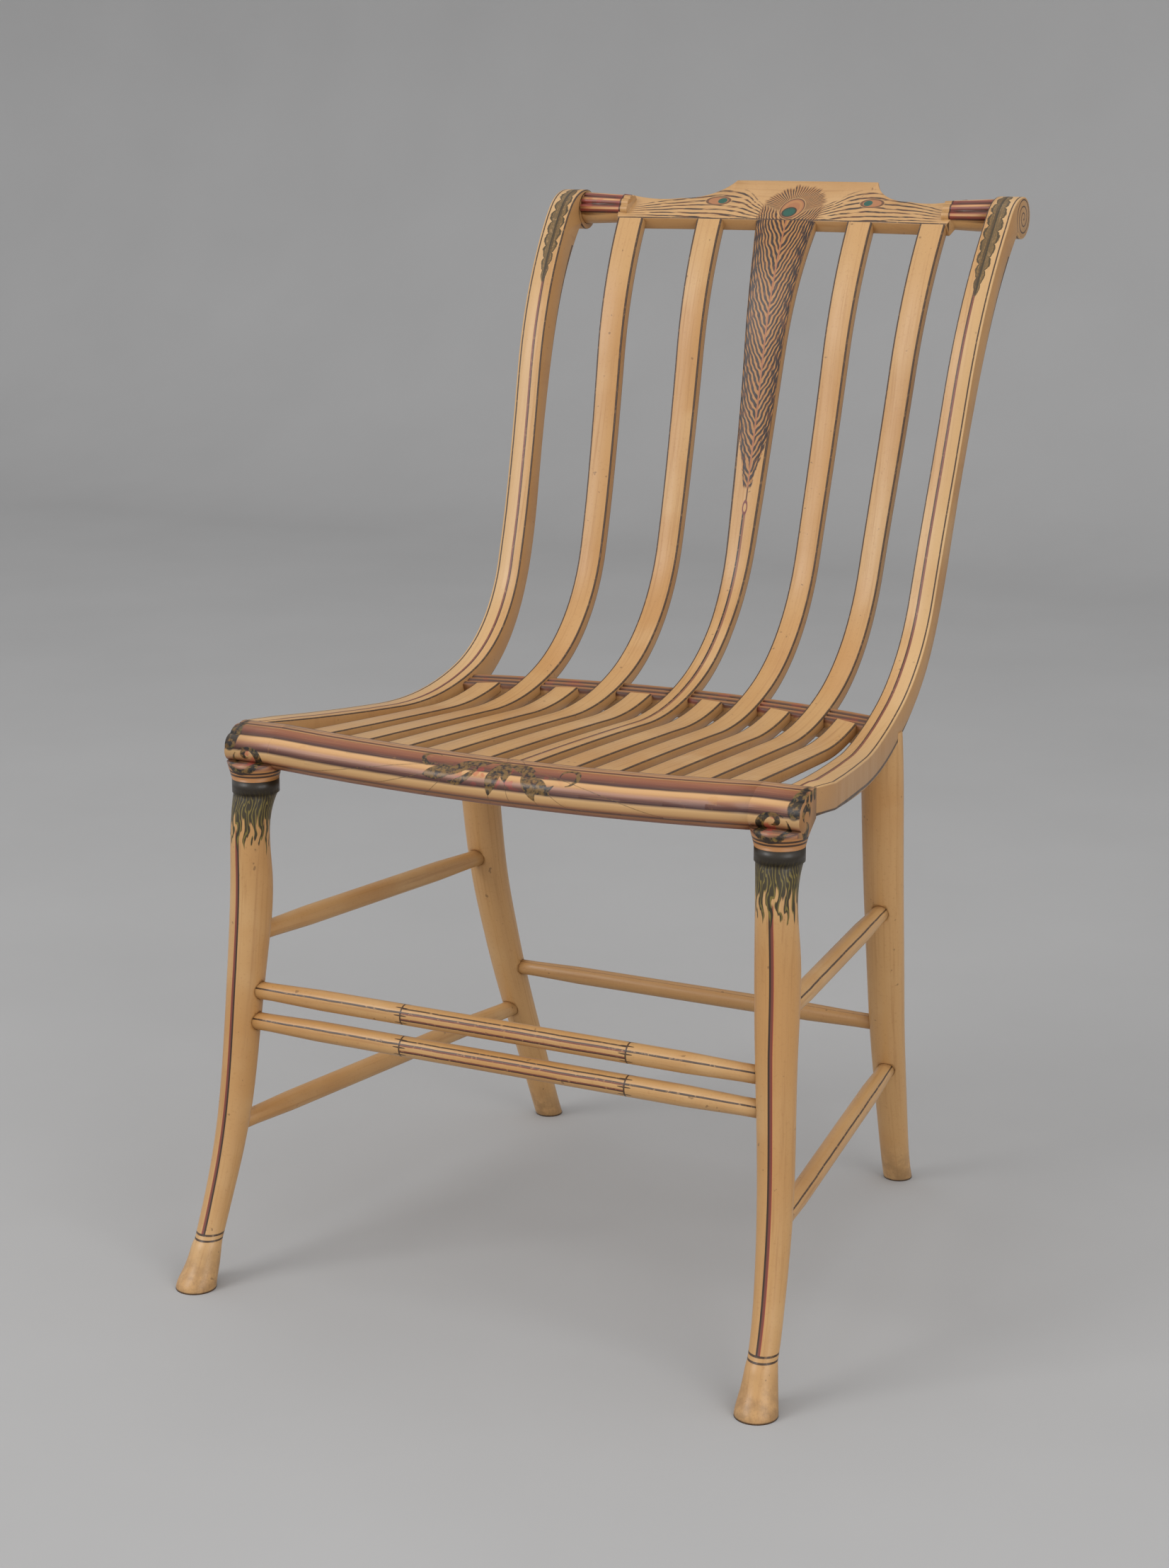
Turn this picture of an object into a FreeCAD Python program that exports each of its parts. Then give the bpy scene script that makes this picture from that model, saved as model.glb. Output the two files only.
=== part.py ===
import FreeCAD, Part
import Sketcher
import math
import os
from FreeCAD import Base, Placement, Rotation, Vector

# Painted side chair: a seat and back of bent slats between two bent side rails.
# Millimetres. X runs to the chair's own left, Y from the front of the seat to the back, Z up.
# The origin is on the floor, under the middle of the chair's overall width and depth.

doc = FreeCAD.newDocument("side_chair")
sheet = doc.addObject("Spreadsheet::Sheet", "sizes")

# Driving sizes. Turns and slopes are in degrees, every other value is in millimetres.
driving_sizes = (
    ("hollow_start_y", -64.8, "where the seat's hollow begins on the side rails"),
    ("hollow_start_height", 438.9, "top of the side rails there"),
    ("hollow_start_slope", 3.8, "how steeply the seat still falls there"),
    ("hollow_radius", 265.0, "easy curve ahead of the bend"),
    ("hollow_turn", 24.0, "turn of that curve"),
    ("bend_radius", 130.0, "bend from the seat into the back"),
    ("bend_turn", 50.4, "turn of the bend"),
    ("back_radius", 2265.0, "nearly straight lower back"),
    ("back_turn", 4.4, "turn of the lower back"),
    ("neck_radius", 372.0, "upper back, bent the other way"),
    ("neck_turn", 25.2, "turn of the upper back"),
    ("roll_radius", 42.0, "head of the stile, rolling over into its scroll"),
    ("scroll_radius", 17.8, "round scroll at the stile's head"),
    ("seat_front_y", -228.3, "back face of the front rail"),
    ("seat_front_rise", 18.6, "top of the seat's front corners above the hollow's start"),
    ("seat_front_dip", 9.0, "how much lower the seat's front is in the middle"),
    ("bow_depth", 45.2, "how far the middle of the back stands behind the stiles"),
    ("seat_dish", 2.8, "how much lower the hollow starts in the middle"),
    ("middle_bend_extra", 32.6, "how much larger the bend's radius is in the middle"),
    ("middle_turn_extra", 1.75, "how much more the middle slat is bent than the stiles"),
    ("side_front_outer", 247.5, "side rail's outer face at the front, from the middle"),
    ("side_front_straight", 38.0, "length over which that face runs straight behind the front rail"),
    ("side_front_inner", 227.0, "side rail's inner face at the front"),
    ("side_knee_outer", 208.0, "side rail's outer face at the bend"),
    ("side_knee_inner", 184.8, "side rail's inner face at the bend"),
    ("side_top_outer", 221.0, "stile's outer face at the top"),
    ("side_top_inner", 198.0, "stile's inner face at the top"),
    ("side_thickness", 22.0, "side rail's thickness along the seat"),
    ("knee_y", 96.7, "where the side rails stop spreading, seen from above"),
    ("knee_rise", 51.1, "where the stiles start spreading, above the hollow's start"),
    ("seat_spread_ease", 150.0, "length over which a side rail turns, seen from above"),
    ("back_spread_ease", 120.0, "length over which a stile turns, seen from the front"),
    ("slat_thickness", 9.5, "thickness of every slat"),
    ("slat_front_width", 23.3, "slat width at the front rail"),
    ("slat_knee_width", 20.6, "slat width at the bend"),
    ("slat_top_width", 24.2, "slat width under the crest rail"),
    ("slat_front_pitch", 36.8, "spacing of the slats at the front rail"),
    ("slat_knee_pitch", 33.3, "spacing of the slats at the bend"),
    ("slat_top_pitch", 36.3, "spacing of the slats at the crest rail"),
    ("middle_front_width", 25.0, "middle slat's width at the front rail"),
    ("middle_knee_width", 20.3, "middle slat's width at the bend"),
    ("middle_back_spread", 22.0, "steady widening of the middle slat up the back"),
    ("middle_head_spread", 15.2, "quick widening of the middle slat under the crest"),
    ("slat_let_in", 6.0, "how far the slats are let into the front rail"),
    ("slat_front_drop", 1.6, "slats' top face below the front rail's top"),
    ("short_tenon_length", 5.0, "short slats' tenons in the rear seat rail"),
    ("slat_tenon_length", 9.0, "long slats' tenons in the crest rail"),
    ("slat_tenon_thickness", 4.5, "thickness of every slat tenon"),
    ("slat_tenon_shoulder", 3.0, "shoulder beside each slat tenon"),
    ("joint_clearance", 0.1, "play in every housing, mortise and socket"),
    ("front_rail_depth", 33.0, "front rail from its back face to its fullest"),
    ("front_rail_height", 32.5, "front rail top to bottom"),
    ("front_rail_end", 207.0, "seam between the front rail and the leg block"),
    ("front_rail_tenon_length", 14.0, "front rail's tenon in the leg block"),
    ("front_rail_tenon_width", 12.0, "front rail's tenon front to back"),
    ("front_rail_tenon_height", 16.0, "front rail's tenon top to bottom"),
    ("side_tenon_length", 26.0, "leg block's tenon in the side rail"),
    ("side_tenon_width", 12.0, "leg block's tenon across the chair"),
    ("side_tenon_height", 10.0, "leg block's tenon top to bottom"),
    ("rear_rail_width", 20.0, "rear seat rail along the seat's line"),
    ("rear_rail_thickness", 20.0, "rear seat rail under the seat's line"),
    ("rear_rail_drop", 1.3, "rear seat rail's reeds below the slats' top face"),
    ("rear_rail_reed_depth", 1.2, "depth of the grooves between those reeds"),
    ("rear_rail_y", 23.6, "rear seat rail's place along the side rails' line"),
    ("rear_rail_tenon_length", 9.0, "rear seat rail's tenon in the side rail"),
    ("rear_rail_tenon_width", 10.0, "rear seat rail's square tenon"),
    ("crest_drop", 6.0, "crest rail's lower front edge under the middle of the scroll"),
    ("crest_rise", 32.0, "slope of the crest rail's face above level"),
    ("crest_face", 62.0, "width of the crest rail's face at the tablet"),
    ("crest_thickness", 12.0, "crest rail's thickness"),
    ("crest_half_length", 158.0, "crest rail's board from middle to end"),
    ("crest_end_radius", 13.6, "turned end where it leaves the board"),
    ("crest_stile_radius", 15.6, "turned end where it meets the stile"),
    ("crest_reed_radius", 4.2, "reeds round the top and front of a turned end"),
    ("crest_tenon_radius", 8.0, "turned end's tenon in the stile"),
    ("crest_tenon_length", 13.0, "turned end's tenon in the stile"),
    ("front_leg_top_x", 227.3, "front leg's shaft at its top, from the middle"),
    ("front_leg_top_y", -247.3, "front leg's shaft at its top"),
    ("front_leg_splay", 18.7, "how far the ankle stands out to the side"),
    ("front_leg_sweep", 60.0, "how far the ankle stands forward"),
    ("front_leg_radius", 17.9, "front leg's shaft at its top"),
    ("front_ankle_height", 37.0, "where the hoof begins"),
    ("front_ankle_radius", 11.4, "front leg at the ankle"),
    ("hoof_radius", 16.6, "sole of the hoof"),
    ("hoof_step", 16.5, "middle of the sole ahead of the ankle"),
    ("hoof_splay", 2.5, "middle of the sole outside the ankle"),
    ("collar_radius", 19.0, "collar at the front leg's head"),
    ("collar_height", 11.0, "collar at the front leg's head"),
    ("leg_neck_height", 8.9, "front leg's head between collar and block"),
    ("leg_neck_radius", 22.5, "front leg's head under the block"),
    ("rear_leg_top_x", 193.0, "rear leg at its top, from the middle"),
    ("rear_leg_top_y", 43.7, "rear leg at its top"),
    ("rear_leg_drop", 2.9, "top of the rear leg under the hollow's start"),
    ("rear_leg_toe_in", 16.0, "how far the foot stands in from the top"),
    ("rear_leg_sweep", 115.5, "how far the foot stands behind the top"),
    ("rear_leg_radius", 17.8, "rear leg at its top"),
    ("rear_foot_radius", 12.6, "rear leg at the floor"),
    ("rear_leg_tenon_radius", 5.5, "rear leg's tenon in the side rail"),
    ("rear_leg_tenon_length", 14.0, "rear leg's tenon up to its end"),
    ("rear_leg_tenon_shift", 8.0, "rear leg's tenon outside the leg's middle"),
    ("upper_side_front_height", 283.5, "upper side stretcher at the front leg"),
    ("upper_side_rear_height", 276.5, "upper side stretcher at the rear leg"),
    ("lower_side_front_height", 126.0, "lower side stretcher at the front leg"),
    ("lower_side_rear_height", 121.5, "lower side stretcher at the rear leg"),
    ("upper_front_height", 240.0, "upper front stretcher above the floor"),
    ("lower_front_height", 214.5, "lower front stretcher above the floor"),
    ("rear_stretcher_height", 164.5, "rear stretcher above the floor"),
    ("side_stretcher_radius", 8.4, "side stretchers in the middle"),
    ("front_stretcher_radius", 8.3, "front stretchers in the middle"),
    ("rear_stretcher_radius", 7.8, "rear stretcher in the middle"),
    ("stretcher_end_loss", 1.1, "how much thinner a stretcher is at its ends"),
    ("stretcher_plain_end", 22.0, "straight end of a stretcher"),
    ("stretcher_taper", 45.0, "length over which a stretcher swells"),
    ("stretcher_socket", 9.5, "how deep a stretcher stands in a leg"),
    ("cut_overrun", 5.0, "how far a cutting tool runs past what it cuts"),
)


def add_row(name, value, note):
    add_row.count += 1
    sheet.set(f"A{add_row.count}", name)
    sheet.set(f"B{add_row.count}", str(value))
    sheet.set(f"C{add_row.count}", note)
    sheet.setAlias(f"B{add_row.count}", name)


add_row.count = 0
for name, value, note in driving_sizes:
    add_row(name, value, note)
doc.recompute()


def size(name):
    return float(sheet.get(name))


def angle(name):
    return math.radians(size(name))


# A size that follows from the driving sizes.
def work_out(name, value, note):
    add_row(name, value, note)
    sheet.recompute()


clearance = size("joint_clearance")
overrun = size("cut_overrun")
subparts = {}
hollow_height = size("hollow_start_height")
work_out("seat_front_height", hollow_height + size("seat_front_rise"), "top of the front corners")
work_out("knee_height", hollow_height + size("knee_rise"), "where the stiles start spreading")
work_out("rear_leg_top", hollow_height - size("rear_leg_drop"), "height to which the rear leg runs")


def bind(target, formulas):
    for name, formula in formulas.items():
        target.setExpression(name, formula)
    return target


def add(kind, name, formulas):
    return bind(doc.addObject(kind, name), formulas)


def base_at(x, y, z):
    return {"Placement.Base.x": x, "Placement.Base.y": y, "Placement.Base.z": z}


def combine(kind, name, base, tool):
    result = doc.addObject(kind, name)
    result.Base = base
    result.Tool = tool
    return result


def join(name, pieces):
    result = doc.addObject("Part::MultiFuse", name)
    result.Shapes = pieces
    return result


def mirror_of(name, source):
    result = doc.addObject("Part::Mirroring", name)
    result.Source = source
    result.Normal = Vector(1, 0, 0)
    return result


def plain(name, shape):
    result = doc.addObject("Part::Feature", name)
    result.Shape = shape
    result.Placement = Placement()
    return result


def finish(label, piece):
    piece.Label = label
    subparts[label] = piece


def finish_pair(stem, piece):
    finish(f"{stem}_left", piece)
    finish(f"{stem}_right", mirror_of(f"{stem}_other", piece))


# An outline on one of a piece's own planes.
def new_sketch(body, name, role):
    plane = next(item for item in body.Origin.OriginFeatures if item.Role == role)
    sketch = body.newObject("Sketcher::SketchObject", name)
    sketch.AttachmentSupport = [(plane, "")]
    sketch.MapMode = "FlatFace"
    return sketch


def worth(formula):
    return float(sheet.evalExpression(formula))


# Holds a corner of an outline at two formulas, measured from the outline's origin.
def pin(sketch, geometry, corner, place):
    for kind, formula, axis in (("DistanceX", place[0], -2), ("DistanceY", place[1], -1)):
        if formula == "0":
            sketch.addConstraint(Sketcher.Constraint("PointOnObject", geometry, corner, axis))
            continue
        index = sketch.addConstraint(Sketcher.Constraint(kind, -1, 1, geometry, corner, worth(formula)))
        sketch.renameConstraint(index, f"{kind}_{geometry}_{corner}")
        sketch.setExpression(f"Constraints.{kind}_{geometry}_{corner}", formula)


# Draws a closed outline through points given as pairs of formulas. A side that has a crown
# is an arc through it, and every other side is straight.
def draw(sketch, places, crowns):
    points = [Vector(worth(x), worth(y), 0) for x, y in places]
    ends = []
    for index, start in enumerate(points):
        stop = points[(index + 1) % len(points)]
        crown = crowns.get(index)
        if crown is None:
            geometry = sketch.addGeometry(Part.LineSegment(start, stop))
        else:
            middle = Vector(worth(crown[0]), worth(crown[1]), 0)
            geometry = sketch.addGeometry(Part.Arc(start, middle, stop))
        first = sketch.getPoint(geometry, 1)
        turned = (first - start).Length > (first - stop).Length
        ends.append((geometry, 2 if turned else 1, 1 if turned else 2))
    for index, (geometry, first, last) in enumerate(ends):
        following = ends[(index + 1) % len(ends)]
        sketch.addConstraint(Sketcher.Constraint("Coincident", geometry, last, following[0], following[1]))
        pin(sketch, geometry, first, places[index])
        if index in crowns:
            crown = crowns[index]
            mark = sketch.addGeometry(Part.Point(Vector(worth(crown[0]), worth(crown[1]), 0)), True)
            pin(sketch, mark, 1, crown)
            sketch.addConstraint(Sketcher.Constraint("PointOnObject", mark, 1, geometry))


# Turns an outline about one of its piece's own axes.
def turned_body(name, sketch, body, axis_role, degrees):
    axis = next(item for item in body.Origin.OriginFeatures if item.Role == axis_role)
    turning = body.newObject("PartDesign::Revolution", name)
    turning.Profile = sketch
    turning.ReferenceAxis = (axis, [""])
    if degrees is None:
        turning.Angle = 360
    else:
        turning.Midplane = True
        turning.setExpression("Angle", degrees)
    sketch.Visibility = False
    return turning


# Moves along an arc in the side view. The turn is to the left where the radius is positive.
def along_arc(point, heading, radius, turn):
    across = radius * (math.sin(heading + turn) - math.sin(heading))
    up = -radius * (math.cos(heading + turn) - math.cos(heading))
    return (point[0] + across, point[1] + up)


# The point a given distance under the face, square to its line.
def below(point, heading, distance):
    return (point[0] + distance * math.sin(heading), point[1] - distance * math.cos(heading))


def in_side_view(point):
    return Vector(0, point[0], point[1])


# How much of the back's bow a piece takes at this distance from the middle.
def bow_share(x):
    return 1 - (x / size("side_knee_outer")) ** 2


def front_top(x):
    return size("seat_front_height") - size("seat_front_dip") * (1 - (x / size("side_front_outer")) ** 2)


# Halving steps that find where a line is cut off.
cut_off_steps = 40


# The top line of a bent piece in the side view, from the front rail to its rear or upper end.
# Each step has its points at the start, middle and end, and the headings there.
def face_line(x, let_in, drop, reached):
    heading = -angle("hollow_start_slope")
    bowed = bow_share(x)
    point = (
        size("hollow_start_y") + size("bow_depth") * bowed,
        size("hollow_start_height") - size("seat_dish") * bowed)
    front = (size("seat_front_y"), front_top(x) - drop)
    chord = math.atan2(point[1] - front[1], point[0] - front[0])
    front_heading = 2 * chord - heading
    front = (front[0] - let_in, front[1] - let_in * math.tan(front_heading))
    steps = [(front, None, point, front_heading, None, heading)]
    bend_radius = size("bend_radius") + size("middle_bend_extra") * bowed
    bend_turn = angle("bend_turn") + angle("middle_turn_extra") * bowed
    runs = (
        (size("hollow_radius"), angle("hollow_turn")),
        (bend_radius, bend_turn),
        (size("back_radius"), angle("back_turn")),
        (-size("neck_radius"), -angle("neck_turn")),
    )
    for radius, turn in runs:
        end = along_arc(point, heading, radius, turn)
        last = reached(end)
        if last:
            low, high = 0.0, 1.0
            for _ in range(cut_off_steps):
                share = (low + high) / 2
                if reached(along_arc(point, heading, radius, turn * share)):
                    high = share
                else:
                    low = share
            turn = turn * low
            end = along_arc(point, heading, radius, turn)
        middle = along_arc(point, heading, radius, turn / 2)
        steps.append((point, middle, end, heading, heading + turn / 2, heading + turn))
        point = end
        heading = heading + turn
        if last:
            break
    return steps


def never(point):
    return False


# A stile's face ends in a roll that passes over into the round scroll.
side_steps = face_line(size("side_knee_outer"), 0.0, 0.0, never)
roll_start, roll_heading = side_steps[-1][2], side_steps[-1][5]
roll_middle = along_arc(roll_start, roll_heading, -size("roll_radius"), -roll_heading / 2)
crown = along_arc(roll_start, roll_heading, -size("roll_radius"), -roll_heading)
work_out("scroll_y", crown[0], "middle of the scroll")
work_out("scroll_height", crown[1] - size("scroll_radius"), "middle of the scroll")
work_out("crest_height", size("scroll_height") - size("crest_drop"), "crest rail's lower front edge")


def past_crest(point):
    return point[1] > size("crest_height")


# Edges that follow a face line at a given depth under it.
def line_edges(steps, depth):
    edges = []
    for start, middle, end, first, half, last in steps:
        a = in_side_view(below(start, first, depth))
        c = in_side_view(below(end, last, depth))
        if middle is None:
            reach = (c - a).Length / 3
            pole_a = a + Vector(0, math.cos(first), math.sin(first)) * reach
            pole_c = c - Vector(0, math.cos(last), math.sin(last)) * reach
            curve = Part.BezierCurve()
            curve.setPoles([a, pole_a, pole_c, c])
            edges.append(curve.toShape())
        else:
            b = in_side_view(below(middle, half, depth))
            edges.append(Part.Arc(a, b, c).toShape())
    return edges


# Distance from the middle of an edge that runs straight and then spreads from inner to outer.
def spreading(inner, outer, length, ease, gone):
    if gone <= 0:
        return inner
    slope = (outer - inner) / (length - ease / 2)
    if gone < ease:
        return inner + slope * gone ** 2 / (2 * ease)
    return inner + slope * (gone - ease / 2)


# A curve whose stretches between the stops are straight or parabolas.
def in_stretches(place, stops):
    edges = []
    for first, last in zip(stops, stops[1:]):
        start, middle, stop = place(first), place((first + last) / 2), place(last)
        if middle.isEqual((start + stop) / 2, Base.Precision.confusion()):
            edges.append(Part.makeLine(start, stop))
        else:
            curve = Part.BezierCurve()
            curve.setPoles([start, middle * 2 - (start + stop) / 2, stop])
            edges.append(curve.toShape())
    return edges


# The face between two edges, where place(edge, stop) is a point of an edge.
def face_between(edges, place, stops):
    left, right = [in_stretches(lambda stop: place(edge, stop), stops) for edge in edges]
    first = Part.makeLine(place(edges[0], stops[0]), place(edges[1], stops[0]))
    last = Part.makeLine(place(edges[0], stops[-1]), place(edges[1], stops[-1]))
    return Part.Face(Part.Wire(Part.__sortEdges__(left + right + [first, last])))


# What lies between two edges. They are given as seen from above below the level of the knee,
# with their stops from front to back, and as seen from the front above it, with stops upwards.
def between(seat_edges, seat_stops, back_edges, back_stops):
    seat = face_between(seat_edges, lambda edge, y: Vector(edge(y), y, 0), seat_stops)
    block = seat.extrude(Vector(0, 0, size("knee_height")))
    if back_stops is None:
        return block
    front_y = seat_stops[0]
    back = face_between(back_edges, lambda edge, z: Vector(edge(z), front_y, z), back_stops)
    return block.fuse(back.extrude(Vector(0, seat_stops[-1] - front_y, 0)))


# Where an edge seen from above is let in, starts and stops turning, and ends.
def seat_stops(front_y, knee_y, rear_y):
    turning = [y for y in (knee_y - size("seat_spread_ease"), knee_y) if y < rear_y]
    return [front_y] + turning + [rear_y]


# Slats. Place 0 is the middle one; odd places are the short ones that end at the rear rail.
# A slat turns a little towards the middle, by this share of the bow's own slope.
slat_turn_share = 0.4
long_places = (0, 2, 4)
short_places = (1, 3, 5)
middle_head_power = 6
middle_slat_spans = 8


def slat_half_width(place, where):
    kind = "middle" if place == 0 else "slat"
    return size(f"{kind}_{where}_width") / 2


def slat_middle(place, where):
    return place * size(f"slat_{where}_pitch")


# How far the slat's band reaches to each side of its middle, and how far it runs forward over that.
def slat_reach(place):
    reach = 2 * size("slat_front_pitch")
    slope = 2 * size("bow_depth") * slat_middle(place, "knee") / size("side_knee_outer") ** 2
    return reach, reach * math.tan(slat_turn_share * math.atan(slope))


# The top line of a slat, up to the crest rail or to a distance past the rear rail's front face.
def slat_line(place, beyond):
    x = slat_middle(place, "knee")
    let_in = size("slat_let_in") + overrun + slat_reach(place)[1]
    drop = size("slat_front_drop")
    if place in long_places:
        return face_line(x, let_in, drop, past_crest)
    rear_y = size("rear_rail_y") - size("rear_rail_width") / 2 + size("bow_depth") * bow_share(x)
    return face_line(x, let_in, drop, lambda point: point[0] > rear_y + beyond)


def slat_knee_y(place):
    return size("knee_y") + size("bow_depth") * bow_share(slat_middle(place, "knee"))


def slat_seat_edge(place, sign, play):
    near = slat_middle(place, "knee") + sign * slat_half_width(place, "knee")
    far = slat_middle(place, "front") + sign * slat_half_width(place, "front")
    knee_y = slat_knee_y(place)
    length = knee_y - size("seat_front_y")
    ease = size("seat_spread_ease")
    return lambda y: spreading(near, far, length, ease, knee_y - y) + sign * play


def slat_back_edge(place, sign, play):
    near = slat_middle(place, "knee") + sign * slat_half_width(place, "knee")
    far = slat_middle(place, "top") + sign * slat_half_width(place, "top") if place else near
    rise = size("crest_height") - size("knee_height")
    ease = size("back_spread_ease")

    def side_slat(z):
        return spreading(near, far, rise, ease, z - size("knee_height")) + sign * play

    def middle_slat(z):
        share = max(0.0, (z - size("knee_height")) / rise)
        spread = size("middle_back_spread") * share + size("middle_head_spread") * share ** middle_head_power
        return near + sign * (spread / 2 + play)

    return side_slat if place else middle_slat


def slat_shape(place, play):
    steps = slat_line(place, size("short_tenon_length"))
    over = line_edges(steps, -play)
    under = line_edges(steps, size("slat_thickness") + play)
    front = Part.makeLine(under[0].Vertexes[0].Point, over[0].Vertexes[0].Point)
    rear = Part.makeLine(over[-1].Vertexes[-1].Point, under[-1].Vertexes[-1].Point)
    outline = Part.Wire(Part.__sortEdges__(over + [rear] + under + [front]))
    x = slat_middle(place, "knee")
    reach, forward = slat_reach(place)
    outline.translate(Vector(x - reach, forward, 0))
    band = Part.Face(outline).extrude(Vector(2 * reach, -2 * forward, 0))
    seat_edges = [slat_seat_edge(place, sign, play) for sign in (-1, 1)]
    back_edges = [slat_back_edge(place, sign, play) for sign in (-1, 1)]
    end = steps[-1][2]
    front_y = size("seat_front_y") - size("slat_let_in") - play
    along_seat = seat_stops(front_y, slat_knee_y(place), end[0] + reach)
    if place in short_places:
        return band.common(between(seat_edges, along_seat, None, None))
    knee = size("knee_height")
    top = end[1] + size("slat_thickness") + forward
    if place:
        up_back = [knee, knee + size("back_spread_ease"), top]
    else:
        up_back = [knee + (top - knee) * index / middle_slat_spans for index in range(middle_slat_spans + 1)]
    return band.common(between(seat_edges, along_seat, back_edges, up_back))


def slat_tenon(place, play):
    last = slat_line(place, 0.0)[-1]
    end = last[2]
    if place in long_places:
        edges = [slat_back_edge(place, sign, 0.0)(end[1]) for sign in (-1, 1)]
        reach = size("slat_tenon_length")
        heading = angle("crest_rise")
        middle = below(end, heading, size("crest_thickness") / 2)
    else:
        edges = [slat_seat_edge(place, sign, 0.0)(end[0]) for sign in (-1, 1)]
        reach = size("short_tenon_length")
        heading = last[5]
        middle = below(end, heading, size("slat_thickness") / 2)
    left, right = edges
    width = right - left - 2 * size("slat_tenon_shoulder") + 2 * play
    depth = size("slat_tenon_thickness") + 2 * play
    length = reach + overrun + play
    block = Part.makeBox(width, length, depth, Vector(-width / 2, -overrun, -depth / 2))
    turn = Rotation(Vector(1, 0, 0), math.degrees(heading))
    block.Placement = Placement(Vector((left + right) / 2, middle[0], middle[1]), turn)
    return block


# Crest rail. Its lower front edge passes through the tops of the middle and outer slats.
middle_end = slat_line(0, 0.0)[-1][2]
outer_end = slat_line(4, 0.0)[-1][2]
outer_x = slat_middle(4, "top")
crest_hollow = middle_end[0] - outer_end[0]
crest_radius = (outer_x ** 2 + crest_hollow ** 2) / (2 * crest_hollow)
work_out("crest_y", middle_end[0], "crest rail's lower front edge at the middle")
work_out("crest_radius", crest_radius, "curve of the crest rail seen from above")
crest_sweep = 2 * math.degrees(math.asin(size("crest_half_length") / crest_radius))
work_out("crest_sweep", crest_sweep, "turn of the crest rail seen from above")

crest = doc.addObject("PartDesign::Body", "crest_board")
bind(crest, base_at("0", "sizes.crest_y - sizes.crest_radius", "sizes.crest_height"))
section = new_sketch(crest, "crest_section", "YZ_Plane")
bind(section, {
    "AttachmentOffset.Base.x": "sizes.crest_radius",
    "AttachmentOffset.Rotation.Angle": "sizes.crest_rise"})
crest_corners = [
    ("0", "0"), ("sizes.crest_face", "0"),
    ("sizes.crest_face", "-sizes.crest_thickness"), ("0", "-sizes.crest_thickness")]
draw(section, crest_corners, {})
turned_body("crest_bow", section, crest, "Z_Axis", "sizes.crest_sweep")

# The ogee of each shoulder, cut square to the face: shares of the half length and of the face.
shoulder_shares = ((0.43, 1.0), (0.70, 0.40), (1.0, 0.335))
shoulder_crown_shares = ((0.525, 0.60), (0.85, 0.315))
shoulders = new_sketch(crest, "crest_shoulders", "XY_Plane")
bind(shoulders, {
    "AttachmentOffset.Base.y": "sizes.crest_radius",
    "AttachmentOffset.Rotation.Axis.x": "1",
    "AttachmentOffset.Rotation.Axis.z": "0",
    "AttachmentOffset.Rotation.Angle": "sizes.crest_rise"})


def crest_place(side, share, extra_x="0", extra_y="0"):
    across = f"{side} * (sizes.crest_half_length * {share[0]} + {extra_x})"
    return (across, f"sizes.crest_face * {share[1]} + {extra_y}")


for side in (1, -1):
    corners = [crest_place(side, share) for share in shoulder_shares]
    corners.append(crest_place(side, shoulder_shares[-1], "sizes.crest_face"))
    corners.append(crest_place(side, (1.0, 1.0), "sizes.crest_face", "sizes.cut_overrun"))
    corners.append(crest_place(side, shoulder_shares[0], "0", "sizes.cut_overrun"))
    crowns = {index: crest_place(side, share) for index, share in enumerate(shoulder_crown_shares)}
    draw(shoulders, corners, crowns)
doc.recompute()
whole_board = crest.Shape.Volume
shoulder_cut = crest.newObject("PartDesign::Pocket", "crest_shoulder_cut")
shoulder_cut.Profile = shoulders
shoulder_cut.Midplane = True
shoulder_cut.setExpression("Length", "4 * (sizes.bow_depth + sizes.crest_thickness)")
doc.recompute()
assert crest.Shape.Volume < whole_board, "the crest rail's shoulders are not cut"

# Side rails, each one long bent piece from the leg block to the scroll at its head.
# The thickness along it, as shares of the thickness along the seat.
side_thickness_shares = (1.0, 1.0, 1.05, 1.12, 1.0, 0.84, 0.83, 0.77, 0.87, 0.98)
scroll_nose_turn = 225


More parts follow.
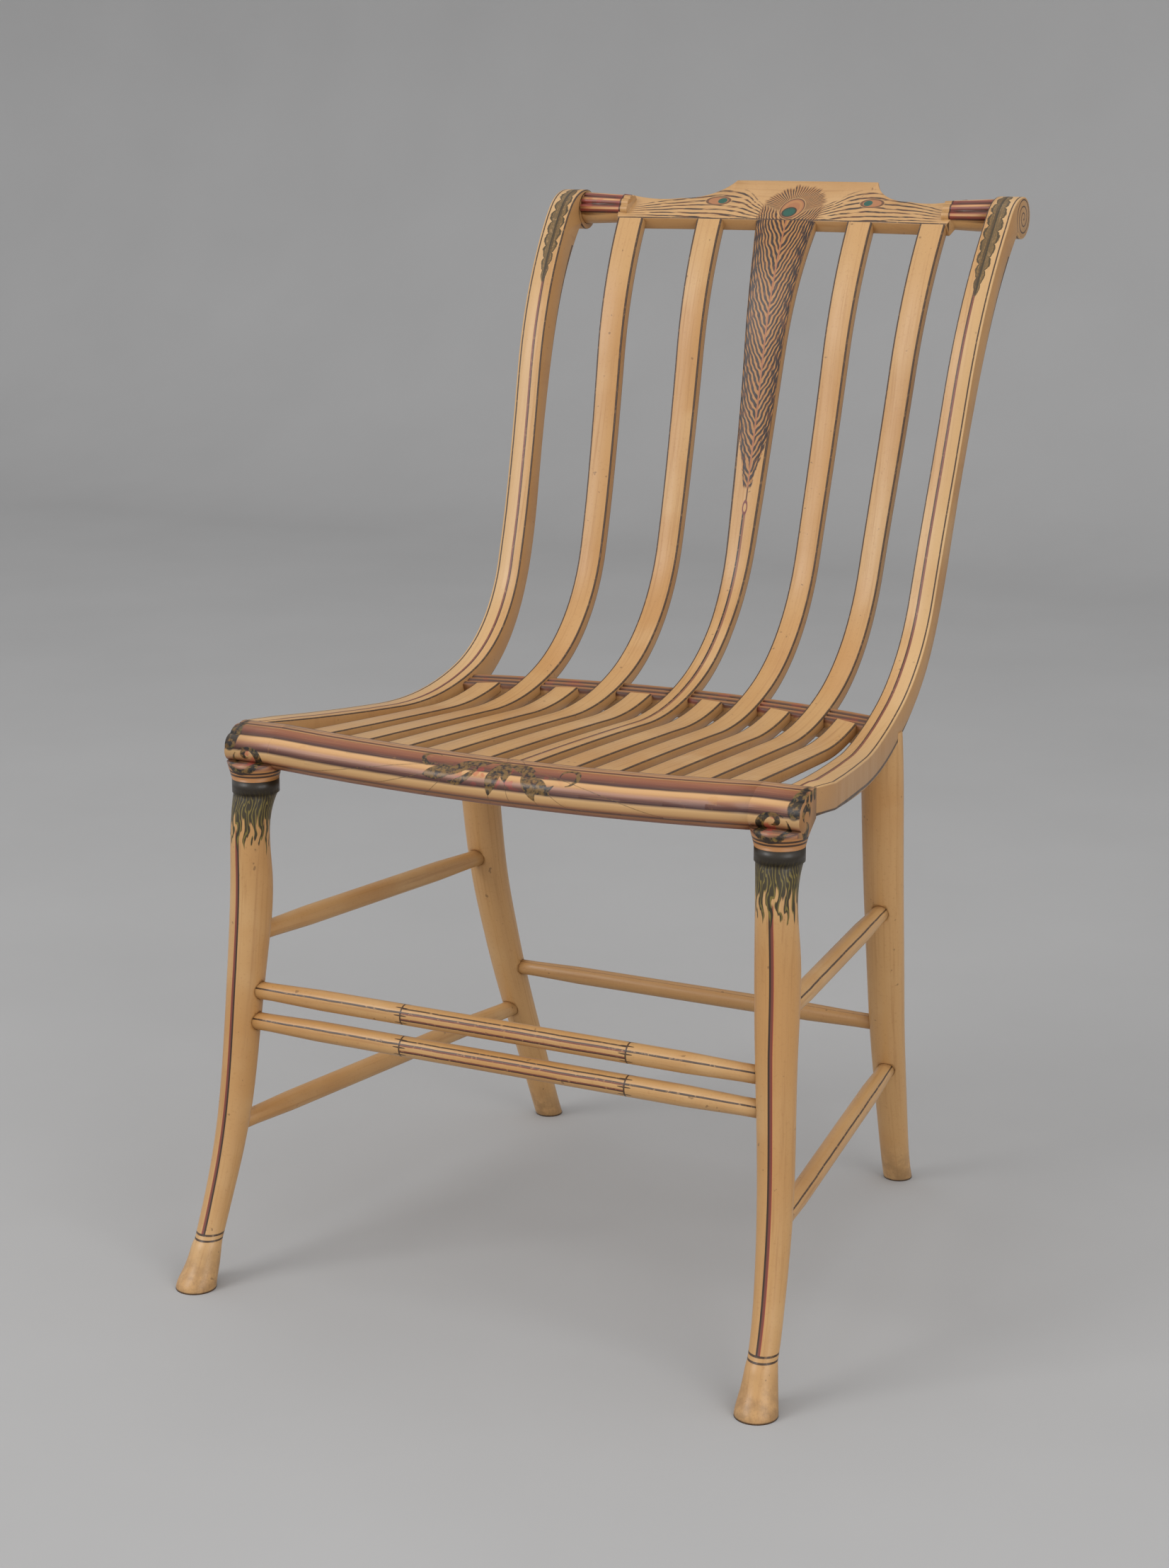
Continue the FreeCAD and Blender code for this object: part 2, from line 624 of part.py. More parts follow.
def side_rail_shape():
    over = line_edges(side_steps, 0.0)
    roll = Part.Arc(in_side_view(roll_start), in_side_view(roll_middle), in_side_view(crown))
    over.append(roll.toShape())
    radius = size("scroll_radius")
    centre = (size("scroll_y"), size("scroll_height"))
    front_curve = over[0].Curve
    first, last = over[0].ParameterRange
    half_way = front_curve.value((first + last) / 2)
    along = front_curve.tangent((first + last) / 2)[0]
    front_point, front_heading = side_steps[0][0], side_steps[0][3]
    stations = [(front_point, front_heading), ((half_way.y, half_way.z), math.atan2(along.z, along.y))]
    for step in side_steps[1:]:
        stations.append((step[0], step[3]))
        stations.append((step[1], step[4]))
    thickness = size("side_thickness")
    under_points = []
    for (point, direction), share in zip(stations, side_thickness_shares):
        under_points.append(in_side_view(below(point, direction, thickness * share)))
    turn = math.radians(scroll_nose_turn)
    nose = Vector(0, centre[0] + radius * math.cos(turn), centre[1] + radius * math.sin(turn))
    under_points.append(nose)
    under = Part.BSplineCurve()
    under.interpolate(under_points)
    rear = Vector(0, centre[0] + radius, centre[1])
    scroll = Part.Arc(in_side_view(crown), rear, nose).toShape()
    front = Part.makeLine(under_points[0], in_side_view(front_point))
    outline = Part.Wire(Part.__sortEdges__(over + [scroll, under.toShape(), front]))
    band = Part.Face(outline).extrude(Vector(size("side_front_outer") + overrun, 0, 0))
    seat_length = size("knee_y") - size("seat_front_y")
    rise = size("crest_height") - size("knee_height")

    straight = {"inner": 0.0, "outer": size("side_front_straight")}

    def seat_edge(side):
        near, far = size(f"side_knee_{side}"), size(f"side_front_{side}")
        length = seat_length - straight[side]
        ease = size("seat_spread_ease")
        return lambda y: min(far, spreading(near, far, length, ease, size("knee_y") - y))

    def back_edge(side):
        near, far = size(f"side_knee_{side}"), size(f"side_top_{side}")
        ease = size("back_spread_ease")
        return lambda z: min(far, spreading(near, far, rise, ease, z - size("knee_height")))

    sides = ("inner", "outer")
    along_seat = seat_stops(size("seat_front_y"), size("knee_y"), centre[0] + 2 * radius)
    along_seat.insert(1, size("seat_front_y") + straight["outer"])
    knee = size("knee_height")
    up_back = [knee, knee + size("back_spread_ease"), size("crest_height"), crown[1] + overrun]
    block = between(
        [seat_edge(side) for side in sides], along_seat, [back_edge(side) for side in sides], up_back)
    return band.common(block)


side_blank = plain("side_rail_blank", side_rail_shape())

# Each end of the crest rail is turned, reeded above and in front, and tenoned into the stile.
# Its core lies under the reeds' outline by a share of a reed's radius.
crest_reed_turns = (8, 42, 76, 110, 144)
crest_core_share = 0.65
turned_start = "(sizes.crest_half_length - sizes.crest_end_radius / 2)"
turned_length = f"sizes.side_top_inner - {turned_start}"
across_x = Rotation(Vector(0, 1, 0), 90)


def lie_across(piece, start):
    piece.Placement = Placement(Vector(), across_x)
    return bind(piece, base_at(start, "sizes.scroll_y", "sizes.scroll_height"))


crest_core = add("Part::Cone", "crest_end", {
    "Radius1": f"sizes.crest_end_radius - {crest_core_share} * sizes.crest_reed_radius",
    "Radius2": f"sizes.crest_stile_radius - {crest_core_share} * sizes.crest_reed_radius",
    "Height": turned_length})
crest_ends = [lie_across(crest_core, turned_start)]
reed_reach = "(sizes.crest_end_radius - sizes.crest_reed_radius)"
reed_run = size("side_top_inner") - size("crest_half_length")
reed_tilt = math.atan((size("crest_stile_radius") - size("crest_end_radius")) / reed_run)
for index, turn in enumerate(crest_reed_turns):
    back, up = math.cos(math.radians(turn)), math.sin(math.radians(turn))
    reed = add("Part::Cylinder", f"crest_reed_{index}", {
        "Radius": "sizes.crest_reed_radius",
        "Height": turned_length})
    outward = math.sin(reed_tilt)
    lean = Rotation(Vector(0, 0, 1), Vector(math.cos(reed_tilt), -back * outward, up * outward))
    reed.Placement = Placement(Vector(), lean)
    reed_y = f"sizes.scroll_y - {reed_reach} * {back}"
    reed_height = f"sizes.scroll_height + {reed_reach} * {up}"
    crest_ends.append(bind(reed, base_at(turned_start, reed_y, reed_height)))
reed_stop = lie_across(add("Part::Cylinder", "crest_end_stop", {
    "Radius": "2 * sizes.crest_stile_radius",
    "Height": turned_length}), turned_start)
crest_end = combine("Part::Common", "crest_end_trimmed", join("crest_end_reeded", crest_ends), reed_stop)


def crest_pin(name, play):
    tenon = add("Part::Cylinder", name, {
        "Radius": f"sizes.crest_tenon_radius + {play}",
        "Height": f"sizes.crest_tenon_length + sizes.cut_overrun + {play}"})
    return lie_across(tenon, "sizes.side_top_inner - sizes.cut_overrun")


crest_end_fitted = combine("Part::Cut", "crest_end_fitted", crest_end, side_blank)
crest_half = join("crest_end_with_tenon", [crest_end_fitted, crest_pin("crest_tenon", "0")])
crest_blank = join("crest_blank", [crest, crest_half, mirror_of("crest_end_other", crest_half)])

# Front rail: a reeded half round that dips at the middle. Shares of its depth and height for the
# grooves between the reeds, from the top of the back face round the front, and for the crowns.
groove_shares = (
    (0.0, 0.0), (0.30, 0.03), (0.70, 0.19), (0.955, 0.50), (0.84, 0.83), (0.48, 1.0), (0.0, 1.0))
reed_shares = ((0.15, -0.01), (0.53, 0.055), (0.90, 0.31), (0.965, 0.68), (0.69, 0.965))
rail_end_dip = front_top(size("front_rail_end")) - front_top(0)
rail_radius = (size("front_rail_end") ** 2 + rail_end_dip ** 2) / (2 * rail_end_dip)
rail_sweep = 2 * math.degrees(math.asin((size("front_rail_end") + overrun) / rail_radius))
work_out("front_rail_top", front_top(0), "top of the front rail at the middle")
work_out("front_rail_radius", rail_radius, "curve of the front rail's dip")
work_out("front_rail_sweep", rail_sweep, "turn of the front rail")
work_out("leg_block_top", front_top(size("front_rail_end")), "top of the leg block")


def rail_place(share, down="0"):
    return (f"-sizes.front_rail_depth * {share[0]}", f"-sizes.front_rail_height * {share[1]} - {down}")


def draw_rail_section(sketch, down="0"):
    places = [rail_place(share, down) for share in groove_shares]
    crowns = {index: rail_place(share, down) for index, share in enumerate(reed_shares)}
    draw(sketch, places, crowns)


front_bar = doc.addObject("PartDesign::Body", "front_rail_bar")
bind(front_bar, base_at("0", "sizes.seat_front_y", "sizes.front_rail_top + sizes.front_rail_radius"))
section = new_sketch(front_bar, "front_rail_section", "YZ_Plane")
draw_rail_section(section, "sizes.front_rail_radius")
turned_body("front_rail_dip", section, front_bar, "Y_Axis", "sizes.front_rail_sweep")
rail_length = add("Part::Box", "front_rail_length", {
    "Length": "2 * sizes.front_rail_end",
    "Width": "2 * sizes.front_rail_depth",
    "Height": "3 * sizes.front_rail_height"})
bind(rail_length, base_at(
    "-sizes.front_rail_end",
    "sizes.seat_front_y - 1.5 * sizes.front_rail_depth",
    "sizes.front_rail_top - 2 * sizes.front_rail_height"))


def rail_tenon(name, play):
    tenon = add("Part::Box", name, {
        "Length": f"sizes.front_rail_tenon_length + sizes.cut_overrun + {play}",
        "Width": f"sizes.front_rail_tenon_width + 2 * {play}",
        "Height": f"sizes.front_rail_tenon_height + 2 * {play}"})
    return bind(tenon, base_at(
        "sizes.front_rail_end - sizes.cut_overrun",
        f"sizes.seat_front_y - (sizes.front_rail_depth + sizes.front_rail_tenon_width) / 2 - {play}",
        f"sizes.leg_block_top - (sizes.front_rail_height + sizes.front_rail_tenon_height) / 2 - {play}"))


front_trimmed = combine("Part::Common", "front_rail_trimmed", front_bar, rail_length)
front_tenon = rail_tenon("front_rail_tenon", "0")
front_blank = join("front_rail_blank", [
    front_trimmed, front_tenon, mirror_of("front_rail_tenon_other", front_tenon)])

# Rear seat rail: a bar ahead of the bend that follows the bow of the back and the dish of the seat.
# It is reeded along its top.
rear_reeds = 3
start_slope = -angle("hollow_start_slope")
side_start = (size("hollow_start_y"), size("hollow_start_height"))
rear_reach = (size("rear_rail_y") - side_start[0]) / size("hollow_radius")
rear_slope = math.asin(rear_reach + math.sin(start_slope))
rear_point = along_arc(side_start, start_slope, size("hollow_radius"), rear_slope - start_slope)
rear_radius = size("side_knee_outer") ** 2 / (2 * size("bow_depth"))
rear_sweep = 2 * math.degrees(math.asin(size("side_knee_outer") / rear_radius))
rear_tenon_shift = size("bow_depth") * bow_share(size("side_knee_inner"))
rear_tenon_drop = size("seat_dish") * bow_share(size("side_knee_inner"))
rear_middle = below(
    (size("rear_rail_y") + rear_tenon_shift, rear_point[1] - rear_tenon_drop),
    rear_slope, size("rear_rail_thickness") / 2)
work_out("rear_rail_height", rear_point[1], "seat's line over the rear seat rail")
work_out("rear_rail_slope", math.degrees(rear_slope), "slope of the seat's line there")
work_out("rear_rail_radius", rear_radius, "curve of the rear seat rail seen from above")
work_out("rear_rail_sweep", rear_sweep, "turn of the rear seat rail")
work_out("rear_tenon_y", rear_middle[0], "middle of the rear seat rail's tenon")
work_out("rear_tenon_height", rear_middle[1], "middle of the rear seat rail's tenon")
dish_tilt = math.asin(size("seat_dish") / size("bow_depth"))
work_out("dish_tilt", math.degrees(dish_tilt), "how far the rear seat rail's bow is tipped back")


# A bar with this section, bent and tipped as the rear seat rail is.
def rear_bar_of(name, corners, crowns):
    body = doc.addObject("PartDesign::Body", name)
    body.Placement = Placement(Vector(), Rotation(Vector(1, 0, 0), -math.degrees(dish_tilt)))
    bind(body, base_at(
        "0",
        "sizes.rear_rail_y + sizes.bow_depth - sizes.rear_rail_radius * cos(sizes.dish_tilt)",
        "sizes.rear_rail_height - sizes.seat_dish + sizes.rear_rail_radius * sin(sizes.dish_tilt)"))
    section = new_sketch(body, f"{name}_section", "YZ_Plane")
    bind(section, {
        "AttachmentOffset.Base.x": "sizes.rear_rail_radius",
        "AttachmentOffset.Rotation.Angle": "sizes.rear_rail_slope + sizes.dish_tilt"})
    draw(section, corners, crowns)
    turned_body(f"{name}_bow", section, body, "Z_Axis", "sizes.rear_rail_sweep")
    return body


groove = "-sizes.rear_rail_drop - sizes.rear_rail_reed_depth"


def across_rear_rail(share):
    return "0" if share == 0.5 else f"sizes.rear_rail_width * {share - 0.5}"


corners = [(across_rear_rail(index / rear_reeds), groove) for index in range(rear_reeds + 1)]
corners.append((across_rear_rail(1), "-sizes.rear_rail_thickness"))
corners.append((across_rear_rail(0), "-sizes.rear_rail_thickness"))
crowns = {}
for index in range(rear_reeds):
    crowns[index] = (across_rear_rail((index + 0.5) / rear_reeds), "-sizes.rear_rail_drop")
rear_bar = rear_bar_of("rear_rail_bar", corners, crowns)
rear_stop = rear_bar_of("rear_rail_reach", [
    (across_rear_rail(0), "sizes.cut_overrun"), (across_rear_rail(1), "sizes.cut_overrun"),
    (across_rear_rail(1), "-sizes.rear_rail_thickness"),
    (across_rear_rail(0), "-sizes.rear_rail_thickness")], {})


def rear_tenon(name, play):
    tenon = add("Part::Box", name, {
        "Length": f"sizes.rear_rail_tenon_length + sizes.cut_overrun + {play}",
        "Width": f"sizes.rear_rail_tenon_width + 2 * {play}",
        "Height": f"sizes.rear_rail_tenon_width + 2 * {play}"})
    return bind(tenon, base_at(
        "sizes.side_knee_inner - sizes.cut_overrun",
        f"sizes.rear_tenon_y - sizes.rear_rail_tenon_width / 2 - {play}",
        f"sizes.rear_tenon_height - sizes.rear_rail_tenon_width / 2 - {play}"))


both_sides = join("both_side_rails", [side_blank, mirror_of("side_rail_blank_other", side_blank)])
doc.recompute()
rear_between = rear_bar.Shape.cut(both_sides.Shape)
rear_between = max(rear_between.Solids, key=lambda solid: solid.Volume)
rear_span = plain("rear_rail_span", rear_between)
rear_pin = rear_tenon("rear_rail_tenon", "0")
rear_blank = join("rear_rail_blank", [rear_span, rear_pin, mirror_of("rear_rail_tenon_other", rear_pin)])

# Slats, with the housings and mortises that they need in the two seat rails and the crest rail.
# The long ones run through the rear rail to the crest rail, and the short ones stop against it.
front_housings = []
rear_housings = []
crest_mortises = []
slat_pieces = {}
doc.recompute()


def on_both_sides(place, shape):
    return [shape, shape.mirror(Vector(), Vector(1, 0, 0))] if place else [shape]


for place in long_places + short_places:
    long = place in long_places
    shape = slat_shape(place, 0.0).cut(crest.Shape if long else rear_stop.Shape)
    shape = max(shape.Solids, key=lambda solid: solid.Volume).fuse(slat_tenon(place, 0.0))
    slat_pieces[place] = plain(f"slat_place_{place}", shape.removeSplitter())
    housing = on_both_sides(place, slat_shape(place, clearance))
    mortise = on_both_sides(place, slat_tenon(place, clearance))
    front_housings += housing
    rear_housings += housing if long else mortise
    crest_mortises += mortise if long else []


def housed(name, blank, cuts):
    tool = plain(f"{name}_cuts", Part.makeCompound(cuts))
    return combine("Part::Cut", f"{name}_housed", blank, tool)


finish("front_seat_rail", housed("front_rail", front_blank, front_housings))
finish("rear_seat_rail", housed("rear_rail", rear_blank, rear_housings))
finish("crest_rail", housed("crest_rail", crest_blank, crest_mortises))
finish("back_slat_middle", slat_pieces[0])
finish_pair("back_slat_inner", slat_pieces[2])
finish_pair("back_slat_outer", slat_pieces[4])
finish_pair("seat_slat_inner", slat_pieces[1])
finish_pair("seat_slat_centre", slat_pieces[3])
finish_pair("seat_slat_outer", slat_pieces[5])

# Legs. Each station has shares of the height, the sweep, the splay and the loss of radius.
front_shaft_shares = (
    (1.0, 0.0, 0.0, 0.0),
    (0.81, 0.107, 0.13, 0.14),
    (0.614, 0.20, 0.28, 0.29),
    (0.447, 0.30, 0.465, 0.50),
    (0.282, 0.433, 0.65, 0.66),
    (0.173, 0.60, 0.786, 0.83),
    (0.085, 0.783, 0.91, 0.95),
    (0.0, 1.0, 1.0, 1.0),
)
hoof_shares = ((1.0, 0.0), (0.62, 0.36), (0.3, 0.72), (0.07, 0.97), (0.0, 1.0))
rear_leg_shares = (
    (1.0, 0.0, 0.0, 0.0),
    (0.86, 0.075, 0.0, 0.05),
    (0.74, 0.14, 0.06, 0.12),
    (0.60, 0.23, 0.13, 0.25),
    (0.48, 0.345, 0.28, 0.37),
    (0.38, 0.455, 0.44, 0.5),
    (0.27, 0.60, 0.62, 0.66),
    (0.13, 0.80, 0.85, 0.9),
    (0.0, 1.0, 1.0, 1.0),
)


def leg_circle(name, radius, x, y, z):
    return bind(add("Part::Circle", name, {"Radius": radius}), base_at(x, y, z))


def loft(name, circles):
    result = doc.addObject("Part::Loft", name)
    result.Sections = circles
    result.Solid = True
    return result


def front_formulas(share):
    return (
        f"sizes.front_leg_radius + (sizes.front_ankle_radius - sizes.front_leg_radius) * {share[3]}",
        f"sizes.front_leg_top_x + sizes.front_leg_splay * {share[2]}",
        f"sizes.front_leg_top_y - sizes.front_leg_sweep * {share[1]}",
        f"sizes.front_ankle_height + (sizes.front_leg_top - sizes.front_ankle_height) * {share[0]}")


def hoof_formulas(share):
    return (
        f"sizes.front_ankle_radius + (sizes.hoof_radius - sizes.front_ankle_radius) * {share[1]}",
        f"sizes.front_leg_top_x + sizes.front_leg_splay + sizes.hoof_splay * {share[1]}",
        f"sizes.front_leg_top_y - sizes.front_leg_sweep - sizes.hoof_step * {share[1]}",
        f"sizes.front_ankle_height * {share[0]}")


def rear_formulas(share):
    return (
        f"sizes.rear_leg_radius + (sizes.rear_foot_radius - sizes.rear_leg_radius) * {share[3]}",
        f"sizes.rear_leg_top_x - sizes.rear_leg_toe_in * {share[2]}",
        f"sizes.rear_leg_top_y + sizes.rear_leg_sweep * {share[1]}",
        f"sizes.rear_leg_top * {share[0]}")


def loft_of(name, formulas, shares):
    return loft(name, [leg_circle(f"{name}_{n}", *formulas(share)) for n, share in enumerate(shares)])


# The front leg's head: a collar, a neck above it and the block, down from the block's top.
work_out("leg_block_bottom", size("leg_block_top") - size("front_rail_height"), "leg block's under side")
collar_bottom = size("leg_block_bottom") - size("leg_neck_height") - size("collar_height")
work_out("front_leg_top", collar_bottom, "height of the front leg's shaft")
front_shaft = loft_of("front_shaft", front_formulas, front_shaft_shares)
hoof = loft_of("hoof", hoof_formulas, hoof_shares)
rear_post = loft_of("rear_post", rear_formulas, rear_leg_shares)
collar = add("Part::Cylinder", "collar", {"Radius": "sizes.collar_radius", "Height": "sizes.collar_height"})
bind(collar, base_at("sizes.front_leg_top_x", "sizes.front_leg_top_y", "sizes.front_leg_top"))
neck_cone = add("Part::Cone", "leg_neck_cone", {
    "Radius1": "sizes.collar_radius - sizes.joint_clearance",
    "Radius2": "sizes.leg_neck_radius",
    "Height": "sizes.leg_neck_height + sizes.cut_overrun"})
neck_bottom = "sizes.front_leg_top + sizes.collar_height"
bind(neck_cone, base_at("sizes.front_leg_top_x", "sizes.front_leg_top_y", neck_bottom))
neck_side = add("Part::Box", "leg_neck_side", {
    "Length": "2 * sizes.leg_neck_radius",
    "Width": "2 * sizes.leg_neck_radius",
    "Height": "sizes.leg_neck_height + sizes.cut_overrun"})
bind(neck_side, base_at(
    "sizes.side_front_outer - 2 * sizes.leg_neck_radius",
    "sizes.front_leg_top_y - sizes.leg_neck_radius",
    neck_bottom))
neck = combine("Part::Common", "leg_neck", neck_cone, neck_side)

# The block at the leg's head carries the front rail's reeds on to its flat outer side.
leg_block = doc.addObject("PartDesign::Body", "leg_block")
bind(leg_block, base_at("sizes.side_front_outer", "sizes.seat_front_y", "sizes.leg_block_top"))
section = new_sketch(leg_block, "leg_block_section", "YZ_Plane")
draw_rail_section(section)
straight = leg_block.newObject("PartDesign::Pad", "leg_block_straight")
straight.Profile = section
straight.Reversed = True
straight.setExpression("Length", "sizes.side_front_outer - sizes.front_rail_end")
doc.recompute()


def side_tongue(name, play):
    tongue = add("Part::Box", name, {
        "Length": f"sizes.side_tenon_width + 2 * {play}",
        "Width": f"sizes.side_tenon_length + sizes.cut_overrun + {play}",
        "Height": f"sizes.side_tenon_height + 2 * {play}"})
    return bind(tongue, base_at(
        f"(sizes.side_front_inner + sizes.side_front_outer - sizes.side_tenon_width) / 2 - {play}",
        "sizes.seat_front_y - sizes.cut_overrun",
        f"sizes.leg_block_top - (sizes.side_thickness + sizes.side_tenon_height) / 2 - {play}"))


# The middle and radius of a leg at a height, on straight lines between its stations.
def leg_at(formulas, shares, height):
    rows = [[worth(formula) for formula in formulas(share)] for share in shares]
    for upper, lower in zip(rows, rows[1:]):
        if lower[3] <= height <= upper[3]:
            share = (height - lower[3]) / (upper[3] - lower[3])
            row = [low + (high - low) * share for low, high in zip(lower, upper)]
            return Vector(row[1], row[2], height), row[0]
    raise ValueError("a stretcher is higher than its leg")


def front_at(name):
    return leg_at(front_formulas, front_shaft_shares, size(name))


def rear_at(name):
    return leg_at(rear_formulas, rear_leg_shares, size(name))


def other_side(spot):
    return Vector(-spot.x, spot.y, spot.z)


# Stretchers: turned rods, thinner at both ends, that stand in sockets in the legs.
def stretcher(name, kind, start, start_radius, stop, stop_radius):
    axis = stop - start
    socket = size("stretcher_socket")
    first = start_radius - socket
    length = axis.Length - first - (stop_radius - socket)
    axis.normalize()
    work_out(f"{name}_length", length, "stretcher end to end, in its sockets")
    end_radius = f"(sizes.{kind}_stretcher_radius - sizes.stretcher_end_loss)"
    swell = "(sizes.stretcher_plain_end + sizes.stretcher_taper)"
    outline = [
        ("0", "0"), ("0", end_radius), ("sizes.stretcher_plain_end", end_radius),
        (swell, f"sizes.{kind}_stretcher_radius"),
        (f"sizes.{name}_length - {swell}", f"sizes.{kind}_stretcher_radius"),
        (f"sizes.{name}_length - sizes.stretcher_plain_end", end_radius),
        (f"sizes.{name}_length", end_radius), (f"sizes.{name}_length", "0")]
    body = doc.addObject("PartDesign::Body", f"{name}_rod")
    sketch = new_sketch(body, f"{name}_profile", "XY_Plane")
    draw(sketch, outline, {})
    turned_body(f"{name}_turning", sketch, body, "X_Axis", None)
    body.Placement = Placement(start + axis * first, Rotation(Vector(1, 0, 0), axis))
    sockets = []
    ends = ((start + axis * first, axis, "start"), (stop - axis * (stop_radius - socket), -axis, "stop"))
    for spot, outward, end in ends:
        bore = add("Part::Cylinder", f"{name}_{end}_socket", {
            "Radius": f"{end_radius} + sizes.joint_clearance",
            "Height": "sizes.stretcher_socket + sizes.cut_overrun"})
        bore.Placement = Placement(spot - outward * clearance, Rotation(Vector(0, 0, 1), outward))
        sockets.append(bore)
    return body, sockets


front_bores = []
rear_bores = []
for level in ("upper", "lower"):
    name = f"{level}_side"
    rod, (front_bore, rear_bore) = stretcher(
        name, "side", *front_at(f"{name}_front_height"), *rear_at(f"{name}_rear_height"))
    front_bores.append(front_bore)
    rear_bores.append(rear_bore)
    finish_pair(f"side_stretcher_{level}", rod)
    spot, radius = front_at(f"{level}_front_height")
    rod, bores = stretcher(f"{level}_front", "front", spot, radius, other_side(spot), radius)
    front_bores.append(bores[0])
    finish(f"front_stretcher_{level}", rod)
spot, radius = rear_at("rear_stretcher_height")
rod, bores = stretcher("rear_stretcher", "rear", spot, radius, other_side(spot), radius)
rear_bores.append(bores[0])
finish("rear_stretcher", rod)

front_solid = join("front_leg_blank", [
    front_shaft, hoof, collar, neck, leg_block, side_tongue("side_tenon", "0")])
front_mortise = rail_tenon("front_rail_mortise", "sizes.joint_clearance")
front_cuts = join("front_leg_cuts", front_bores + [front_mortise, front_trimmed])
finish_pair("front_leg", combine("Part::Cut", "front_leg", front_solid, front_cuts))

# The rear leg's head is coped to the side rail and the rear seat rail, with a round tenon above.
rear_cuts = join("rear_leg_cuts", rear_bores + [side_blank, rear_span])
rear_coped = combine("Part::Cut", "rear_leg_coped", rear_post, rear_cuts)


def leg_tenon(name, play):
    tenon = add("Part::Cylinder", name, {
        "Radius": f"sizes.rear_leg_tenon_radius + {play}",
        "Height": f"sizes.rear_leg_tenon_length + sizes.rear_rail_thickness + {play}"})
    return bind(tenon, base_at(
        "sizes.rear_leg_top_x + sizes.rear_leg_tenon_shift", "sizes.rear_leg_top_y",
        "sizes.rear_leg_top - sizes.rear_rail_thickness - sizes.rear_leg_tenon_length / 2"))


finish_pair("rear_leg", join("rear_leg", [rear_coped, leg_tenon("rear_leg_tenon", "0")]))

side_cuts = join("side_rail_cuts", [
    side_tongue("side_mortise", "sizes.joint_clearance"),
    rear_tenon("rear_rail_mortise", "sizes.joint_clearance"),
    leg_tenon("rear_leg_mortise", "sizes.joint_clearance"),
    crest_pin("crest_mortise", "sizes.joint_clearance")])
finish_pair("side_rail", combine("Part::Cut", "side_rail", side_blank, side_cuts))

doc.recompute()
for piece in doc.Objects:
    assert not {"Invalid", "Error"} & set(piece.State), piece.Name
for label, piece in subparts.items():
    assert not piece.Shape.isNull() and piece.Shape.isValid(), label
os.makedirs("parts", exist_ok=True)
for label, piece in subparts.items():
    piece.Shape.exportStep(f"parts/{label}.step")
    print(label, len(piece.Shape.Solids), round(piece.Shape.Volume))
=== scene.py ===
import bisect
import math
import bpy
import bmesh
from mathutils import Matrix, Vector
from mathutils.geometry import interpolate_bezier


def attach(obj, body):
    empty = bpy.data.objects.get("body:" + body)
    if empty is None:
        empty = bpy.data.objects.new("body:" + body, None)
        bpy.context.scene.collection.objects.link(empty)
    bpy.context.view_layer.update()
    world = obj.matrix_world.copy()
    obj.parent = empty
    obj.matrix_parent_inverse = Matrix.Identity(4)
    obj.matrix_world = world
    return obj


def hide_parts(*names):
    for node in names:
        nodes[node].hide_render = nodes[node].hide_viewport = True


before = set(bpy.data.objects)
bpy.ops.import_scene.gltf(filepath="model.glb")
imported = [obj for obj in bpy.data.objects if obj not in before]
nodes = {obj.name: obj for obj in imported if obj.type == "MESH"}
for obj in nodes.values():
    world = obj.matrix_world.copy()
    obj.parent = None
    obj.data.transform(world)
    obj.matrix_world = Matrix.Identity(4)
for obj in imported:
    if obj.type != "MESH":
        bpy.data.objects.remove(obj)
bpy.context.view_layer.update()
print("frame loaded,", len(nodes), "pieces")

# A painted side chair: bent slats between two bent side rails that end in small scrolls.
# Metres. X runs to the chair's own left, Y from its front to its back, Z up from the floor.
halfTurn = 180 / math.pi


def tone(red, green, blue):
    # a colour as it is read off a screen, turned into light
    def light(value):
        share = value / 255
        return share / 12.92 if share <= 0.04045 else ((share + 0.055) / 1.055) ** 2.4
    return (light(red), light(green), light(blue), 1)


paints = {
    "cream": tone(191, 148, 96),
    "paleCream": tone(204, 168, 120),
    "ochre": tone(178, 127, 70),
    "brownGlaze": tone(146, 98, 52),
    # a yellowed glaze that is also painted shade, laid on sides, undersides and backs
    "sideGlazeAndShade": tone(152, 108, 64),
    "dark": tone(44, 27, 20),
    "plum": tone(110, 52, 44),
    "red": tone(168, 44, 38),
    "olive": tone(112, 84, 38),
    "deepOlive": tone(46, 40, 20),
    "feather": tone(84, 46, 20),
    "featherWash": tone(164, 112, 56),
    "russet": tone(158, 98, 58),
    "blueGreen": tone(20, 78, 62),
    "nearBlack": tone(12, 13, 8),
    "strand": tone(146, 128, 56),
    "grime": tone(88, 62, 38),
}

# The bent line that the side rails and slats follow, seen from the side.
bentLine = {
    "frontY": -0.2283, "frontZ": 0.4575, "frontDip": 0.009, "frontHalf": 0.2475, "slatDrop": 0.0016,
    "startY": -0.0648, "startZ": 0.4389, "startSlope": -3.8,
    "arcs": ((0.265, 24.0), (0.130, 50.4), (2.265, 4.4), (-0.372, -25.2)),
    "bendArc": 1, "extraBend": 1.75, "extraRadius": 0.0326, "dish": 0.0028,
    "rollRadius": 0.042, "scrollRadius": 0.0178, "scrollTurn": 225,
    "bowDepth": 0.0452, "bowHalf": 0.208,
    "kneeY": 0.0967, "kneeZ": 0.490, "topZ": 0.83449,
    "seatEase": 0.150, "backEase": 0.120, "step": 0.004,
}


def bowShare(x):
    return 1 - (x / bentLine["bowHalf"]) ** 2


def along(heading, length):
    return Vector((math.cos(heading), math.sin(heading))) * length


def arcPoints(place, heading, radius, turn):
    count = max(3, round(abs(radius * turn) / bentLine["step"]))
    points = []
    for index in range(1, count + 1):
        now = heading + turn * index / count
        shift = Vector((math.sin(now) - math.sin(heading), math.cos(heading) - math.cos(now))) * radius
        points.append((place + shift, now))
    return points


